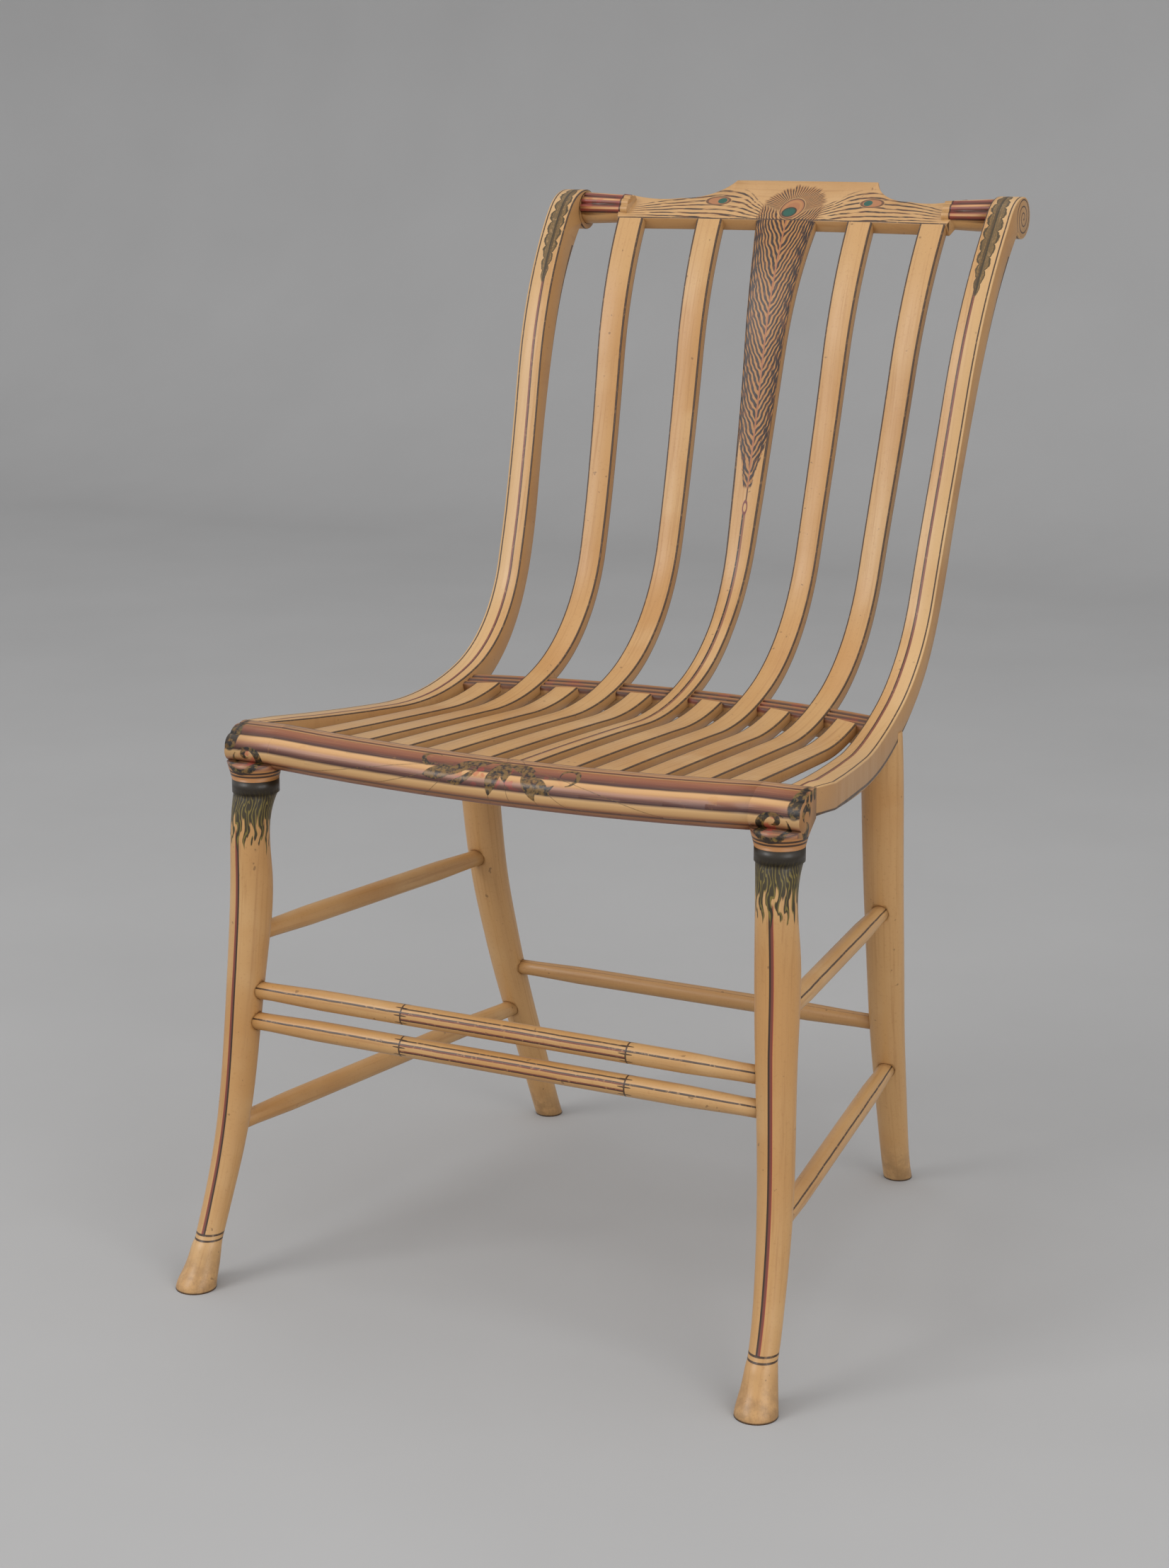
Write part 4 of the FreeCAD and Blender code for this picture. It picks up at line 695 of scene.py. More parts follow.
railMaterial = sideRailPaint()
for name in ("side_rail_left", "side_rail_right"):
    mesh = carvedCopy(name, sideRail["arris"])
    markPaint(mesh, [onSideRail])
    finishPiece(name, mesh, [railMaterial])
print("side rails painted")

# Crest rail. The eyes and plumes are placed across from the middle and up the sloping face.
crest = {
    "lowZ": 0.8345, "rise": 32.0, "boardEnd": 0.158, "endReach": 0.002, "arris": 0.0008, "sharp": 50,
    "grainAlong": 9.0, "grainAcross": 330.0, "endGrainAcross": 300.0, "seam": (0.0008, 0.0007, 0.0004),
    "endSeam": (0.0005, 0.0006, 0.0004), "seams": 0.8, "onFace": (0.5, 0.9), "facing": 0.8, "glazeAndShade": 0.45,
    "eye": (0.0, 0.0180), "eyeRadii": (0.0108, 0.0155),
    "core": (-0.0011, 0.0125), "coreRadii": (0.0066, 0.0074),
    "eyeRings": (("cream", 1.14, 1.04, 0.8), ("russet", 0.98, 0.9, 0.9)),
    "eyeLines": (("feather", 0.98, 0.035, 0.04, 0.9), ("ochre", 0.72, 0.03, 0.12, 0.5)),
    "coreRings": (("deepOlive", 1.12, 1.0, 1.0), ("blueGreen", 0.95, 0.7, 1.0)),
    "hairRadii": (0.0155, 0.0185), "hairs": 74, "hairShake": (5.0, 70.0), "hairStroke": (-0.3, 0.4),
    "hairRim": (2.05, 1.75), "rimPitch": 6.0, "rimShake": (1.1, 1.0, 4.0), "hairStrength": 0.95, "wash": 0.6,
    "hairShade": (160.0, 2.0, 0.45, 0.6),
    "upperSlope": 0.55, "upper": (0.004, 0.011), "underHalf": (0.031, 0.027),
    "sideEye": (0.0745, 0.0285), "sideEyeRadii": (0.0105, 0.0062),
    "sideCore": (0.0705, 0.0285), "sideCoreRadii": (0.0046, 0.0046),
    "plumeRoot": 0.021, "plumeLength": 0.135, "plumeTop": 0.0485, "plumeHairs": 13, "plumeFan": 0.35,
    "plumeCurve": ((0.0, 0.16), (0.12, 0.62), (0.33, 0.96), (0.55, 0.8), (1.0, 0.36)),
    "plumeStroke": (0.15, 0.6), "driftAcross": 38.0, "driftUp": 90.0, "drift": 1.3,
    "breakAcross": 70.0, "breakUp": 500.0, "breaks": (0.32, 0.5), "plumeEnds": ((0.0, 0.03), (1.0, 0.86)),
    "tipShake": (0.5, 90.0, 3.0), "tips": (1.08, 0.92), "clear": (1.05, 1.3), "plumeStrength": 0.96,
    "plumeShade": (120.0, 2.0, 0.4, 0.56), "sideRings": (("russet", 1.0, 0.86, 0.85),),
    "sideLine": ("feather", 1.0, 0.07, 0.1, 0.9), "sideCoreRings": (("blueGreen", 1.0, 0.84, 1.0),),
    "reedEnds": ((-14.0, -8.0), (166.0, 160.0)), "boardEdge": 0.0003,
    "flush": (75.0, 2.0, 0.54, 0.64), "endFlush": 0.8,
    "reedStart": 8.0, "reedPitch": 34.0, "reedStrength": 0.95, "blushReach": 0.010, "blush": 0.28,
    # each reed of the turned ends: plum and maroon paint, with a painted highlight on its top and painted
    # shade in its grooves
    "reeds": (
        (0.0, "dark"), (0.10, 92, 40, 36), (0.36, 132, 64, 50), (0.44, 206, 160, 112),
        (0.58, 190, 136, 90), (0.70, 118, 60, 46), (0.90, 74, 36, 32), (1.0, "dark")),
}


def sidePlumes(brush, colour, face):
    # long barbs that arch out from the middle, each side round a small eye
    plan = crest
    x, up = brush.first, brush.second
    wide = brush.size(x)
    t = brush.share(brush.take(wide, plan["plumeRoot"]), plan["plumeLength"])
    share = brush.share(up, brush.times(brush.curve(t, plan["plumeCurve"]), plan["plumeTop"]))
    drift = brush.shaken(brush.stretched((x, plan["driftAcross"]), (up, plan["driftUp"])), plan["drift"])
    fan = brush.times(brush.take(share, brush.times(t, plan["plumeFan"])), plan["plumeHairs"])
    hair = brush.fade(brush.sine(brush.times(brush.add(fan, drift), math.pi)), *plan["plumeStroke"])
    ends = brush.fade(brush.add(share, brush.shaken(brush.where, *plan["tipShake"])), *plan["tips"])
    breaks = brush.noise(brush.stretched((x, plan["breakAcross"]), (up, plan["breakUp"])))
    eye = brush.oval(wide, up, plan["sideEye"], plan["sideEyeRadii"])
    core = brush.oval(wide, up, plan["sideCore"], plan["sideCoreRadii"])
    plume = brush.times(
        hair, *[brush.fade(t, *end) for end in plan["plumeEnds"]], ends, brush.fade(breaks, *plan["breaks"]),
        brush.fade(eye, *plan["clear"]), face)
    shade = featherShade(brush, *plan["plumeShade"])
    colour = brush.over(colour, shade, brush.times(plume, plan["plumeStrength"]))
    colour = brush.rings(colour, eye, plan["sideRings"], face)
    name, at, half, soft, strength = plan["sideLine"]
    colour = brush.paint(colour, name, brush.line(eye, at, half, soft), face, strength)
    return brush.rings(colour, core, plan["sideCoreRings"], face), plume


def middleFeather(brush, colour, face):
    # fine hairs round the eye, and barbs that carry on from the slat
    plan = crest
    x, up = brush.first, brush.second
    wide = brush.size(x)
    turned = brush.sum("ARCTAN2", brush.take(up, plan["eye"][1]), brush.take(x, plan["eye"][0]))
    shake = brush.shaken(brush.where, *plan["hairShake"])
    rays = brush.sine(brush.add(brush.times(turned, plan["hairs"]), shake))
    rim = brush.add(
        brush.oval(x, up, plan["eye"], plan["hairRadii"]),
        brush.shaken(brush.stretched((turned, plan["rimPitch"])), *plan["rimShake"]))
    upper = brush.fade(brush.take(up, brush.times(wide, plan["upperSlope"])), *plan["upper"])
    crown = brush.times(brush.fade(rim, *plan["hairRim"]), upper, face)
    under = brush.times(brush.flip(upper), brush.fade(wide, *plan["underHalf"]), face)
    barbs = featherBarbs(brush, x, up, feather["pitch"], feather["rise"])
    middle = brush.most(
        brush.times(crown, brush.fade(rays, *plan["hairStroke"])), brush.times(under, barbs))
    colour = brush.paint(colour, "featherWash", brush.most(crown, under), plan["wash"])
    shade = featherShade(brush, *plan["hairShade"])
    colour = brush.over(colour, shade, brush.times(middle, plan["hairStrength"]))
    eye = brush.oval(x, up, plan["eye"], plan["eyeRadii"])
    core = brush.oval(x, up, plan["core"], plan["coreRadii"])
    colour = brush.rings(colour, eye, plan["eyeRings"], face)
    for name, at, half, soft, strength in plan["eyeLines"]:
        colour = brush.paint(colour, name, brush.line(eye, at, half, soft), face, strength)
    return brush.rings(colour, core, plan["coreRings"], face), middle


def crestBoardPaint():
    plan = crest
    brush = Brush("crest_paint")
    across = plan["grainAcross"]
    colour = brush.ground(brush.stretched(
        (brush.x, plan["grainAlong"]), (brush.y, across), (brush.z, across)))
    face = brush.fade(brush.third, *plan["onFace"])
    # off the face (under side, top edge and back) the crest is darkened: a glaze and painted shade
    colour = brush.paint(colour, "sideGlazeAndShade", brush.flip(face), plan["glazeAndShade"])
    colour, plume = sidePlumes(brush, colour, face)
    colour, middle = middleFeather(brush, colour, face)
    seam = brush.worn(brush.line(brush.second, *plan["seam"]))
    colour = brush.paint(colour, "dark", seam, face, plan["seams"])
    return brush.done(colour, brush.most(plume, middle))


def crestEndPaint():
    plan = crest
    brush = Brush("crest_end_paint")
    across = plan["endGrainAcross"]
    colour = brush.ground(brush.stretched(
        (brush.first, plan["grainAlong"]), (brush.second, across), (brush.third, across)))
    turned = brush.round(brush.third, brush.second)
    reed = brush.share(brush.take(turned, plan["reedStart"]), plan["reedPitch"])
    phase = brush.sum("FRACT", brush.add(reed, 0.5))
    start = plan["boardEnd"]
    reeded = brush.times(
        *[brush.fade(turned, *end) for end in plan["reedEnds"]],
        brush.fade(brush.first, start - plan["boardEdge"], start + plan["boardEdge"]))
    # the reeds' paint, with painted highlights and painted groove shade
    colour = brush.over(colour, brush.ramp(phase, plan["reeds"]), brush.times(reeded, plan["reedStrength"]))
    blush = brush.most(
        brush.patches(*plan["flush"]),
        brush.times(brush.fade(brush.first, start + plan["blushReach"], start), plan["endFlush"]))
    colour = brush.paint(colour, "red", blush, reeded, plan["blush"])
    endSeam = brush.line(brush.take(brush.first, start), *plan["endSeam"])
    return brush.done(brush.paint(colour, "dark", endSeam, plan["seams"]))


def onCrestEnd(point, normal):
    return (abs(point.x), scrollMiddle[0] - point.y, point.z - scrollMiddle[1])


def onCrest(point, normal):
    # across, up the face, and 1 where the surface is the face
    rise = math.radians(crest["rise"])
    facing = normal.z * math.cos(rise) - normal.y * math.sin(rise)
    return (point.x, (point.z - crest["lowZ"]) / math.sin(rise), 1.0 if facing > crest["facing"] else 0.0)


crestMesh = carvedCopy("crest_rail", crest["arris"], crest["sharp"])
for face in crestMesh.polygons:
    reach = max(abs(crestMesh.vertices[index].co.x) for index in face.vertices)
    if reach > crest["boardEnd"] + crest["endReach"]:
        face.material_index = 1
markPaint(crestMesh, [onCrest, onCrestEnd])
finishPiece("crest_rail", crestMesh, [crestBoardPaint(), crestEndPaint()])
print("crest rail painted")

# Front rail and the leg blocks that carry its reeds round the corners.
frontRail = {
    "backY": -0.2283, "height": 0.0325, "blockX": 0.207, "endX": 0.2475, "hair": 0.0002, "girth": 0.0817,
    "least": 0.00001, "sideways": 0.7,
}


def railTop(x):
    half = min(abs(x), frontRail["blockX"])
    return bentLine["frontZ"] - bentLine["frontDip"] * (1 - (half / bentLine["frontHalf"]) ** 2)


def onFrontRail(point, normal):
    # share of the way round the half round from its top to its under side, or 2 on the flat end
    plan = frontRail
    out = plan["backY"] - point.y
    rise = point.z - railTop(point.x) + plan["height"] / 2
    angle = math.degrees(math.atan2(rise, max(out, plan["least"])))
    flatEnd = abs(point.x) > plan["endX"] - plan["hair"] and abs(normal.x) > plan["sideways"]
    return (point.x, 2.0 if flatEnd else (90 - angle) / 180, point.z)


# Bands round the half round of the front rail and leg blocks, from top to under side: orange, mauve and
# red-brown paint, with a painted highlight along each reed's top and painted shade in each groove
reedColoursWithPaintedLight = [
    (0.0, 138, 94, 60), (0.05, 132, 90, 60), (0.08, 176, 140, 106), (0.105, 138, 94, 58),
    (0.135, 176, 132, 90), (0.165, 104, 62, 44), (0.183, 58, 32, 24), (0.20, 190, 143, 88),
    (0.235, 152, 94, 58), (0.31, 122, 68, 44), (0.352, 80, 44, 34), (0.369, 60, 34, 26),
    (0.385, 206, 160, 108), (0.415, 194, 148, 98), (0.445, 148, 100, 74), (0.475, 94, 56, 46),
    (0.5, 58, 32, 28), (0.518, 190, 151, 101), (0.56, 186, 143, 95), (0.59, 150, 98, 66),
    (0.612, 70, 38, 30), (0.632, 158, 108, 72), (0.68, 126, 70, 50), (0.73, 102, 52, 40),
    (0.765, 66, 36, 30), (0.85, 92, 56, 44), (1.0, 130, 96, 66)]
reedWear = {
    "grain": (8.0, 30.0), "wanderRun": (22.0, 9.0), "wander": 0.012, "streakRun": (16.0, 120.0),
    "streaks": (0.52, 0.75), "streakStrength": 0.25, "rubbed": (60.0, 4.0, 0.62, 0.72, 0.65),
    "rubStrength": 0.3,
}


def reedPaintAndShading(brush):
    plan = reedWear

    def run(stretch):
        return brush.stretched((brush.first, stretch[0]), (brush.second, stretch[1]))

    ground = brush.ground(run(plan["grain"]))
    wander = brush.shaken(run(plan["wanderRun"]), plan["wander"])
    # the reed bands, with their painted highlights and painted groove shade
    shadedBands = brush.ramp(brush.add(brush.second, wander), reedColoursWithPaintedLight)
    streaky = brush.fade(brush.noise(run(plan["streakRun"]), 1.0, 4.0), *plan["streaks"])
    colour = brush.over(shadedBands, ground, brush.times(streaky, plan["streakStrength"]))
    return brush.paint(colour, "ochre", brush.patches(*plan["rubbed"]), plan["rubStrength"])


# How a brush stroke and a painted leaf thin out and soften.
strokePlan = {
    "thinFrom": 0.35, "thinTo": 2.0, "soft": (0.0006, 0.0), "cut": (1.0, -3.0),
    "leafSoft": (0.0005, -0.0002), "greenDetail": 3.0,
}


def stroke(brush, x, y, middle, radius, start, stop, width):
    # a curved brush stroke that thins towards both ends, with angles in degrees
    plan = strokePlan
    away = brush.oval(x, y, middle, (1.0, 1.0))
    turned = brush.round(brush.take(y, middle[1]), brush.take(x, middle[0]))
    half = (stop - start) / 2
    off = brush.size(brush.sum("WRAP", brush.take(turned, start + half), 180.0, -180.0))
    thick = brush.times(brush.fade(off, half + plan["thinTo"], half * plan["thinFrom"]), width)
    drawn = brush.fade(brush.take(brush.size(brush.take(away, radius)), thick), *plan["soft"])
    return brush.times(drawn, brush.fade(off, *[half + reach for reach in plan["cut"]]))


def leafBlot(brush, x, y, middle, length, width, degrees):
    # a pointed leaf lying at an angle
    turn = math.radians(degrees)
    dx, dy = brush.take(x, middle[0]), brush.take(y, middle[1])
    run = brush.add(brush.times(dx, math.cos(turn)), brush.times(dy, math.sin(turn)))
    off = brush.take(brush.times(dy, math.cos(turn)), brush.times(dx, math.sin(turn)))
    share = brush.share(run, length / 2)
    thick = brush.times(brush.most(brush.take(1.0, brush.times(share, share)), 0.0), width / 2)
    return brush.fade(brush.take(brush.size(off), thick), *strokePlan["leafSoft"])


def olivePaint(brush, scale, low, high):
    patches = brush.patches(scale, strokePlan["greenDetail"], low, high)
    return brush.paint(paints["olive"], "nearBlack", patches)


# The sprig on the rail, placed across from the middle and down round the half round:
# middle, radius, first and last angle and width of a stroke; middle, length, width and angle of a leaf.
sprig = {
    "strokes": (
        ((-0.0640, 0.0225), 0.0072, 40, 330, 0.0017), ((-0.0410, 0.0200), 0.0200, 15, 100, 0.0020),
        ((0.0560, 0.0270), 0.0075, 170, 450, 0.0017), ((0.0350, 0.0200), 0.0190, 50, 130, 0.0020),
        ((-0.0060, 0.0430), 0.0250, 240, 300, 0.0018)),
    "leaves": (
        ((-0.0520, 0.0340), 0.030, 0.0100, -14), ((-0.0350, 0.0280), 0.026, 0.0090, -38),
        ((-0.0230, 0.0225), 0.022, 0.0080, -10), ((-0.0060, 0.0330), 0.026, 0.0110, 100),
        ((0.0020, 0.0270), 0.020, 0.0095, 70), ((0.0150, 0.0225), 0.024, 0.0100, 12),
        ((0.0240, 0.0330), 0.030, 0.0110, 58), ((0.0350, 0.0360), 0.022, 0.0080, 28)),
    "blush": (-0.004, 0.033), "blushRadii": (0.07, 0.010), "blushStrength": 0.45,
    "blushFade": (1.0, 0.3), "blushPatches": (120.0, 3.0, 0.52, 0.6),
    "green": (300.0, 0.42, 0.62), "wear": 0.25, "strength": 0.92,
}


def frontRailPaint():
    plan = sprig
    brush = Brush("front_rail_paint")
    colour = reedPaintAndShading(brush)
    x, down = brush.first, brush.times(brush.second, frontRail["girth"])
    marks = [stroke(brush, x, down, *one) for one in plan["strokes"]]
    marks += [leafBlot(brush, x, down, *one) for one in plan["leaves"]]
    mask = brush.most(*marks)
    blush = brush.fade(brush.oval(x, down, plan["blush"], plan["blushRadii"]), *plan["blushFade"])
    colour = brush.paint(
        colour, "red", blush, brush.patches(*plan["blushPatches"]), plan["blushStrength"])
    green = olivePaint(brush, *plan["green"])
    colour = brush.over(colour, green, brush.times(brush.worn(mask, plan["wear"]), plan["strength"]))
    return brush.done(colour, mask)


railMesh = carvedCopy("front_seat_rail", 0.0)
markPaint(railMesh, [onFrontRail])
finishPiece("front_seat_rail", railMesh, [frontRailPaint()])

# Front legs: heights and places of the shaft's middle, from the hoof up, then the painted parts.
frontLeg = {
    "stations": (
        (0.0, 0.2485, -0.3238), (0.0137, 0.2478, -0.3192), (0.037, 0.2460, -0.3073), (0.068, 0.2443, -0.2943),
        (0.100, 0.2420, -0.2833), (0.140, 0.2395, -0.2733), (0.200, 0.2360, -0.2653),
        (0.261, 0.2325, -0.2593),
        (0.333, 0.2297, -0.2537), (0.402, 0.2273, -0.2473), (0.46, 0.2273, -0.2473)),
    "collarLow": 0.4130, "blockLow": 0.4227, "cornerLift": 0.0095, "grainAcross": 330.0, "grainUp": 8.0,
    "blockRings": (0.4206, 0.4178), "hoofRings": (0.0425, 0.0382), "ringHalf": 0.0006, "ringSoft": 0.0004,
    "ringStrength": 0.92, "soil": 0.45, "sole": (0.0018, 0.0008),
    "stripeTop": (0.376, 0.372), "stripeLow": (0.0425, 0.0429), "stripeOut": 0.0022, "stripeLean": 0.008,
    "stripeFront": (0.0, 0.003), "stripeSoft": 0.0003, "fringeEdge": 0.0004,
    "soilReach": 0.045, "soilPatches": (60.0, 5.0, 0.35, 0.62, 0.7), "soleStrength": 0.8, "ringWear": 0.3,
    "strandNoise": (3.6, 30.0), "bend": 9.0, "tipNoise": 4.2, "tipEnd": (0.0, 0.06), "fineStroke": (0.2, 0.8),
    "threadDepth": 0.38, "closeAt": 0.27, "closing": 1.5, "hold": (-0.12, 0.10),
    "brightFade": (0.408, 0.393), "palerFade": (0.407, 0.387),
    "stripes": (("plum", 0.0008, 0.0009, 0.95), ("dark", -0.0009, 0.0006, 0.97),
        ("red", 0.0018, 0.0002, 0.4)),
    "fringeTop": 0.4150, "fringeLow": 0.346, "fringeFall": 0.050,
    "fringeStrength": 0.97,
    "threads": 19.0, "fineThreads": 45.0, "waver": 0.07, "waverUp": 260.0,
    "tipSpread": 0.050, "tipDrop": 0.012, "brightness": 0.5,
    "scroll": (0.2277, 0.4308), "scrollSquash": 0.78, "scrollRing": ((0.0, 0.0), 0.0090, 50, 395, 0.0023),
    "scrollCurl": ((-0.0008, 0.0042), 0.0030, -110, 110, 0.0014),
    "corner": (0.2430, 0.4460), "cornerRadii": (0.0062, 0.0100),
    "scrollBlush": ((-0.002, 0.002), (0.008, 0.008)), "near": 0.001,
    "neck": (0.4237, 0.4222), "neckStrength": 0.85, "neckShare": 0.3,
    "flatEnd": (1.4, 1.6), "rim": (1.05, 0.85),
    "blushFade": (1.0, 0.6), "blushPatches": (150.0, 3.0, 0.5, 0.58), "blush": 0.5,
    "gleamScale": 240.0, "gleamFade": (0.56, 0.66), "gleam": 0.25,
    "green": (260.0, 0.36, 0.54), "wear": 0.2, "strength": 0.94,
    "endStrokes": (
        ((-0.2465, 0.4378), 0.0058, -30, 230, 0.0026), ((-0.2495, 0.4285), 0.0052, -160, 60, 0.0026)),
    "drops": ((-0.2455, 0.4500), (-0.2385, 0.4505), (-0.2320, 0.4510)), "dropRadii": (0.0026, 0.0052),
}


def axisAt(stations, z):
    index = min(max(bisect.bisect([row[0] for row in stations], z), 1), len(stations) - 1)
    low, high = stations[index - 1], stations[index]
    share = (z - low[0]) / (high[0] - low[0])
    return low[1] + (high[1] - low[1]) * share, low[2] + (high[2] - low[2]) * share


def onLeg(stations):
    # out and forward of the shaft's middle, and height
    def rule(point, normal):
        x, y = axisAt(stations, point.z)
        return (abs(point.x) - x, y - point.y, point.z)
    return rule


def legGround(brush):
    across = frontLeg["grainAcross"]
    return brush.ground(brush.stretched(
        (brush.first, across), (brush.second, across), (brush.third, frontLeg["grainUp"])))


def ringMask(brush, heights):
    half, soft = frontLeg["ringHalf"], frontLeg["ringSoft"]
    return brush.most(*[brush.line(brush.third, height, half, soft) for height in heights])


def fringeMask(brush, turned):
    # a dark band that breaks up into threads, and the bright strands in it
    plan = frontLeg
    z = brush.third
    strandNoise = brush.noise(brush.stretched(*zip((turned, z), plan["strandNoise"])))
    waving = brush.sine(brush.add(brush.times(z, plan["waverUp"]), brush.times(strandNoise, plan["bend"])))
    wavy = brush.add(turned, brush.times(waving, plan["waver"]))
    tipNoise = brush.noise(brush.stretched((turned, plan["tipNoise"])))
    tip = brush.add(plan["fringeLow"] - plan["tipDrop"], brush.times(tipNoise, plan["tipSpread"]))
    falling = brush.share(brush.take(z, tip), plan["fringeFall"])
    thread = brush.times(brush.sine(brush.times(wavy, plan["threads"])), plan["threadDepth"])
    closed = brush.times(brush.take(falling, plan["closeAt"]), plan["closing"])
    hold = brush.fade(brush.add(thread, closed), *plan["hold"])
    below = brush.fade(z, plan["fringeTop"] + plan["fringeEdge"], plan["fringeTop"])
    fine = brush.fade(brush.sine(brush.times(wavy, plan["fineThreads"])), *plan["fineStroke"])
    bright = brush.times(fine, brush.fade(z, *plan["brightFade"]))
    return brush.times(hold, brush.fade(falling, *plan["tipEnd"]), below), bright


def frontLegPaint():
    plan = frontLeg
    brush = Brush("front_leg_paint")
    colour = legGround(brush)
    z = brush.third
    soiled = brush.times(brush.fade(z, plan["soilReach"], 0.0), brush.patches(*plan["soilPatches"]))
    colour = brush.paint(colour, "grime", soiled, plan["soil"])
    # the stripe down the front: dark, then plum, with a red edge
    lean = brush.times(brush.take(plan["fringeLow"], z), plan["stripeLean"])
    side = brush.add(brush.take(brush.first, plan["stripeOut"]), lean)
    ahead = brush.times(
        brush.fade(z, *plan["stripeTop"]), brush.fade(z, *plan["stripeLow"]),
        brush.fade(brush.second, *plan["stripeFront"]))
    for name, at, half, strength in plan["stripes"]:
        colour = brush.paint(colour, name, brush.line(side, at, half, plan["stripeSoft"]), ahead, strength)
    rings = ringMask(brush, plan["blockRings"] + plan["hoofRings"])
    colour = brush.paint(colour, "dark", brush.worn(rings, plan["ringWear"]), plan["ringStrength"])
    colour = brush.paint(colour, "dark", brush.fade(z, *plan["sole"]), plan["soleStrength"])
    fringe, bright = fringeMask(brush, brush.sum("ARCTAN2", brush.first, brush.second))
    strand = brush.paint(paints["nearBlack"], "deepOlive", brush.fade(z, *plan["palerFade"]))
    strand = brush.paint(strand, "strand", bright, plan["brightness"])
    colour = brush.over(colour, strand, brush.times(fringe, plan["fringeStrength"]))
    return brush.done(colour, fringe)


def blockPaint():
    plan = frontLeg
    brush = Brush("leg_block_paint")
    colour = reedPaintAndShading(brush)
    z = brush.third
    path = brush.size(brush.first)
    flatEnd = brush.fade(brush.second, *plan["flatEnd"])
    bare = brush.over(paints["ochre"], paints["russet"], plan["neckShare"])
    colour = brush.over(colour, bare, brush.times(brush.fade(z, *plan["neck"]), plan["neckStrength"]))
    # the flat end is darkened: a glaze and painted shade
    colour = brush.paint(colour, "sideGlazeAndShade", flatEnd)
    # a scroll on the front, with a dark corner
    across = brush.times(brush.take(path, plan["scroll"][0]), plan["scrollSquash"])
    height = brush.take(z, plan["scroll"][1])
    front = brush.most(
        stroke(brush, across, height, *plan["scrollRing"]),
        stroke(brush, across, height, *plan["scrollCurl"]),
        brush.fade(brush.oval(path, z, plan["corner"], plan["cornerRadii"]), *plan["rim"]))
    # an S on the flat end, and drops that go on behind it
    tail = [stroke(brush, brush.y, z, *one) for one in plan["endStrokes"]]
    for place in plan["drops"]:
        tail.append(brush.fade(brush.oval(brush.y, z, place, plan["dropRadii"]), *plan["rim"]))
    mask = brush.most(brush.times(front, brush.flip(flatEnd)), brush.times(brush.most(*tail), flatEnd))
    blush = brush.fade(brush.oval(across, height, *plan["scrollBlush"]), *plan["blushFade"])
    colour = brush.paint(
        colour, "red", blush, brush.flip(flatEnd), brush.patches(*plan["blushPatches"]), plan["blush"])
    gleam = brush.noise(brush.vector(path, z), plan["gleamScale"])
    shade = brush.paint(
        olivePaint(brush, *plan["green"]), "strand", brush.fade(gleam, *plan["gleamFade"]), plan["gleam"])
    colour = brush.over(colour, shade, brush.times(brush.worn(mask, plan["wear"]), plan["strength"]))
    colour = brush.paint(colour, "dark", ringMask(brush, plan["blockRings"]), plan["ringStrength"])
    return brush.done(colour, mask)


legMaterials = [frontLegPaint(), blockPaint()]
for name in ("front_leg_left", "front_leg_right"):
    mesh = carvedCopy(name, 0.0)
    for vertex in mesh.vertices:
        spot = vertex.co
        atEnd = abs(spot.x) > frontRail["endX"] - frontRail["hair"]
        atBack = spot.y > frontRail["backY"] - frontRail["hair"]
        if atEnd and atBack and abs(spot.z - frontLeg["blockLow"]) < frontLeg["near"]:
            vertex.co.z += frontLeg["cornerLift"]
    for face in mesh.polygons:
        if face.center.z > frontLeg["collarLow"]:
            face.material_index = 1
    markPaint(mesh, [onLeg(frontLeg["stations"]), onFrontRail])
    finishPiece(name, mesh, legMaterials)

# Rear legs, with one line down the outer side.
rearLeg = {
    "stations": (
        (0.0, 0.177, 0.1592), (0.0567, 0.1794, 0.1361), (0.1177, 0.1831, 0.1130), (0.1657, 0.1860, 0.0963),
        (0.2093, 0.1885, 0.0835), (0.2616, 0.1909, 0.0703), (0.3226, 0.1920, 0.0599), (0.375, 0.193, 0.0524),
        (0.436, 0.193, 0.0437)),
    "line": (112.0, 2.6, 1.5), "lineStrength": 0.85, "sole": (0.002, 0.001), "soleStrength": 0.7,
    "soilReach": 0.05, "soilPatches": (50.0, 5.0, 0.35, 0.6, 0.7), "soil": 0.45,
}


def rearLegPaint():
    plan = rearLeg
    brush = Brush("rear_leg_paint")
    colour = legGround(brush)
    line = brush.worn(brush.line(brush.round(brush.first, brush.second), *plan["line"]))
    colour = brush.paint(colour, "dark", line, plan["lineStrength"])
    soiled = brush.times(
        brush.fade(brush.third, plan["soilReach"], 0.0), brush.patches(*plan["soilPatches"]))
    colour = brush.paint(colour, "grime", soiled, plan["soil"])
    colour = brush.paint(colour, "dark", brush.fade(brush.third, *plan["sole"]), plan["soleStrength"])
    return brush.done(colour, line)


rearMaterial = rearLegPaint()
for name in ("rear_leg_left", "rear_leg_right"):
    mesh = carvedCopy(name, 0.0)
    markPaint(mesh, [onLeg(rearLeg["stations"])])
    finishPiece(name, mesh, [rearMaterial])
print("legs painted")

# Rear seat rail, reeded along its top.
rearRail = {
    "y": 0.0236, "z": 0.4483, "slope": 15.75, "width": 0.020, "reeds": 3.0, "topDepth": 0.006,
    "grain": (9.0, 40.0, 200.0), "top": (0.4, 0.8), "bandStrength": 0.95, "glazeAndShade": 0.6,
    "flushPatches": (45.0, 2.0, 0.56, 0.66), "flush": 0.18,
    # each reed is lighter in its middle and dark at its grooves: painted highlight and painted shade over its
    # brown and red paint
    "shadedBands": (
        (0.0, "dark"), (0.14, 96, 58, 38), (0.32, 142, 96, 58), (0.55, 158, 110, 66),
        (0.76, 114, 70, 46), (0.88, 78, 42, 34), (1.0, "dark")),
}


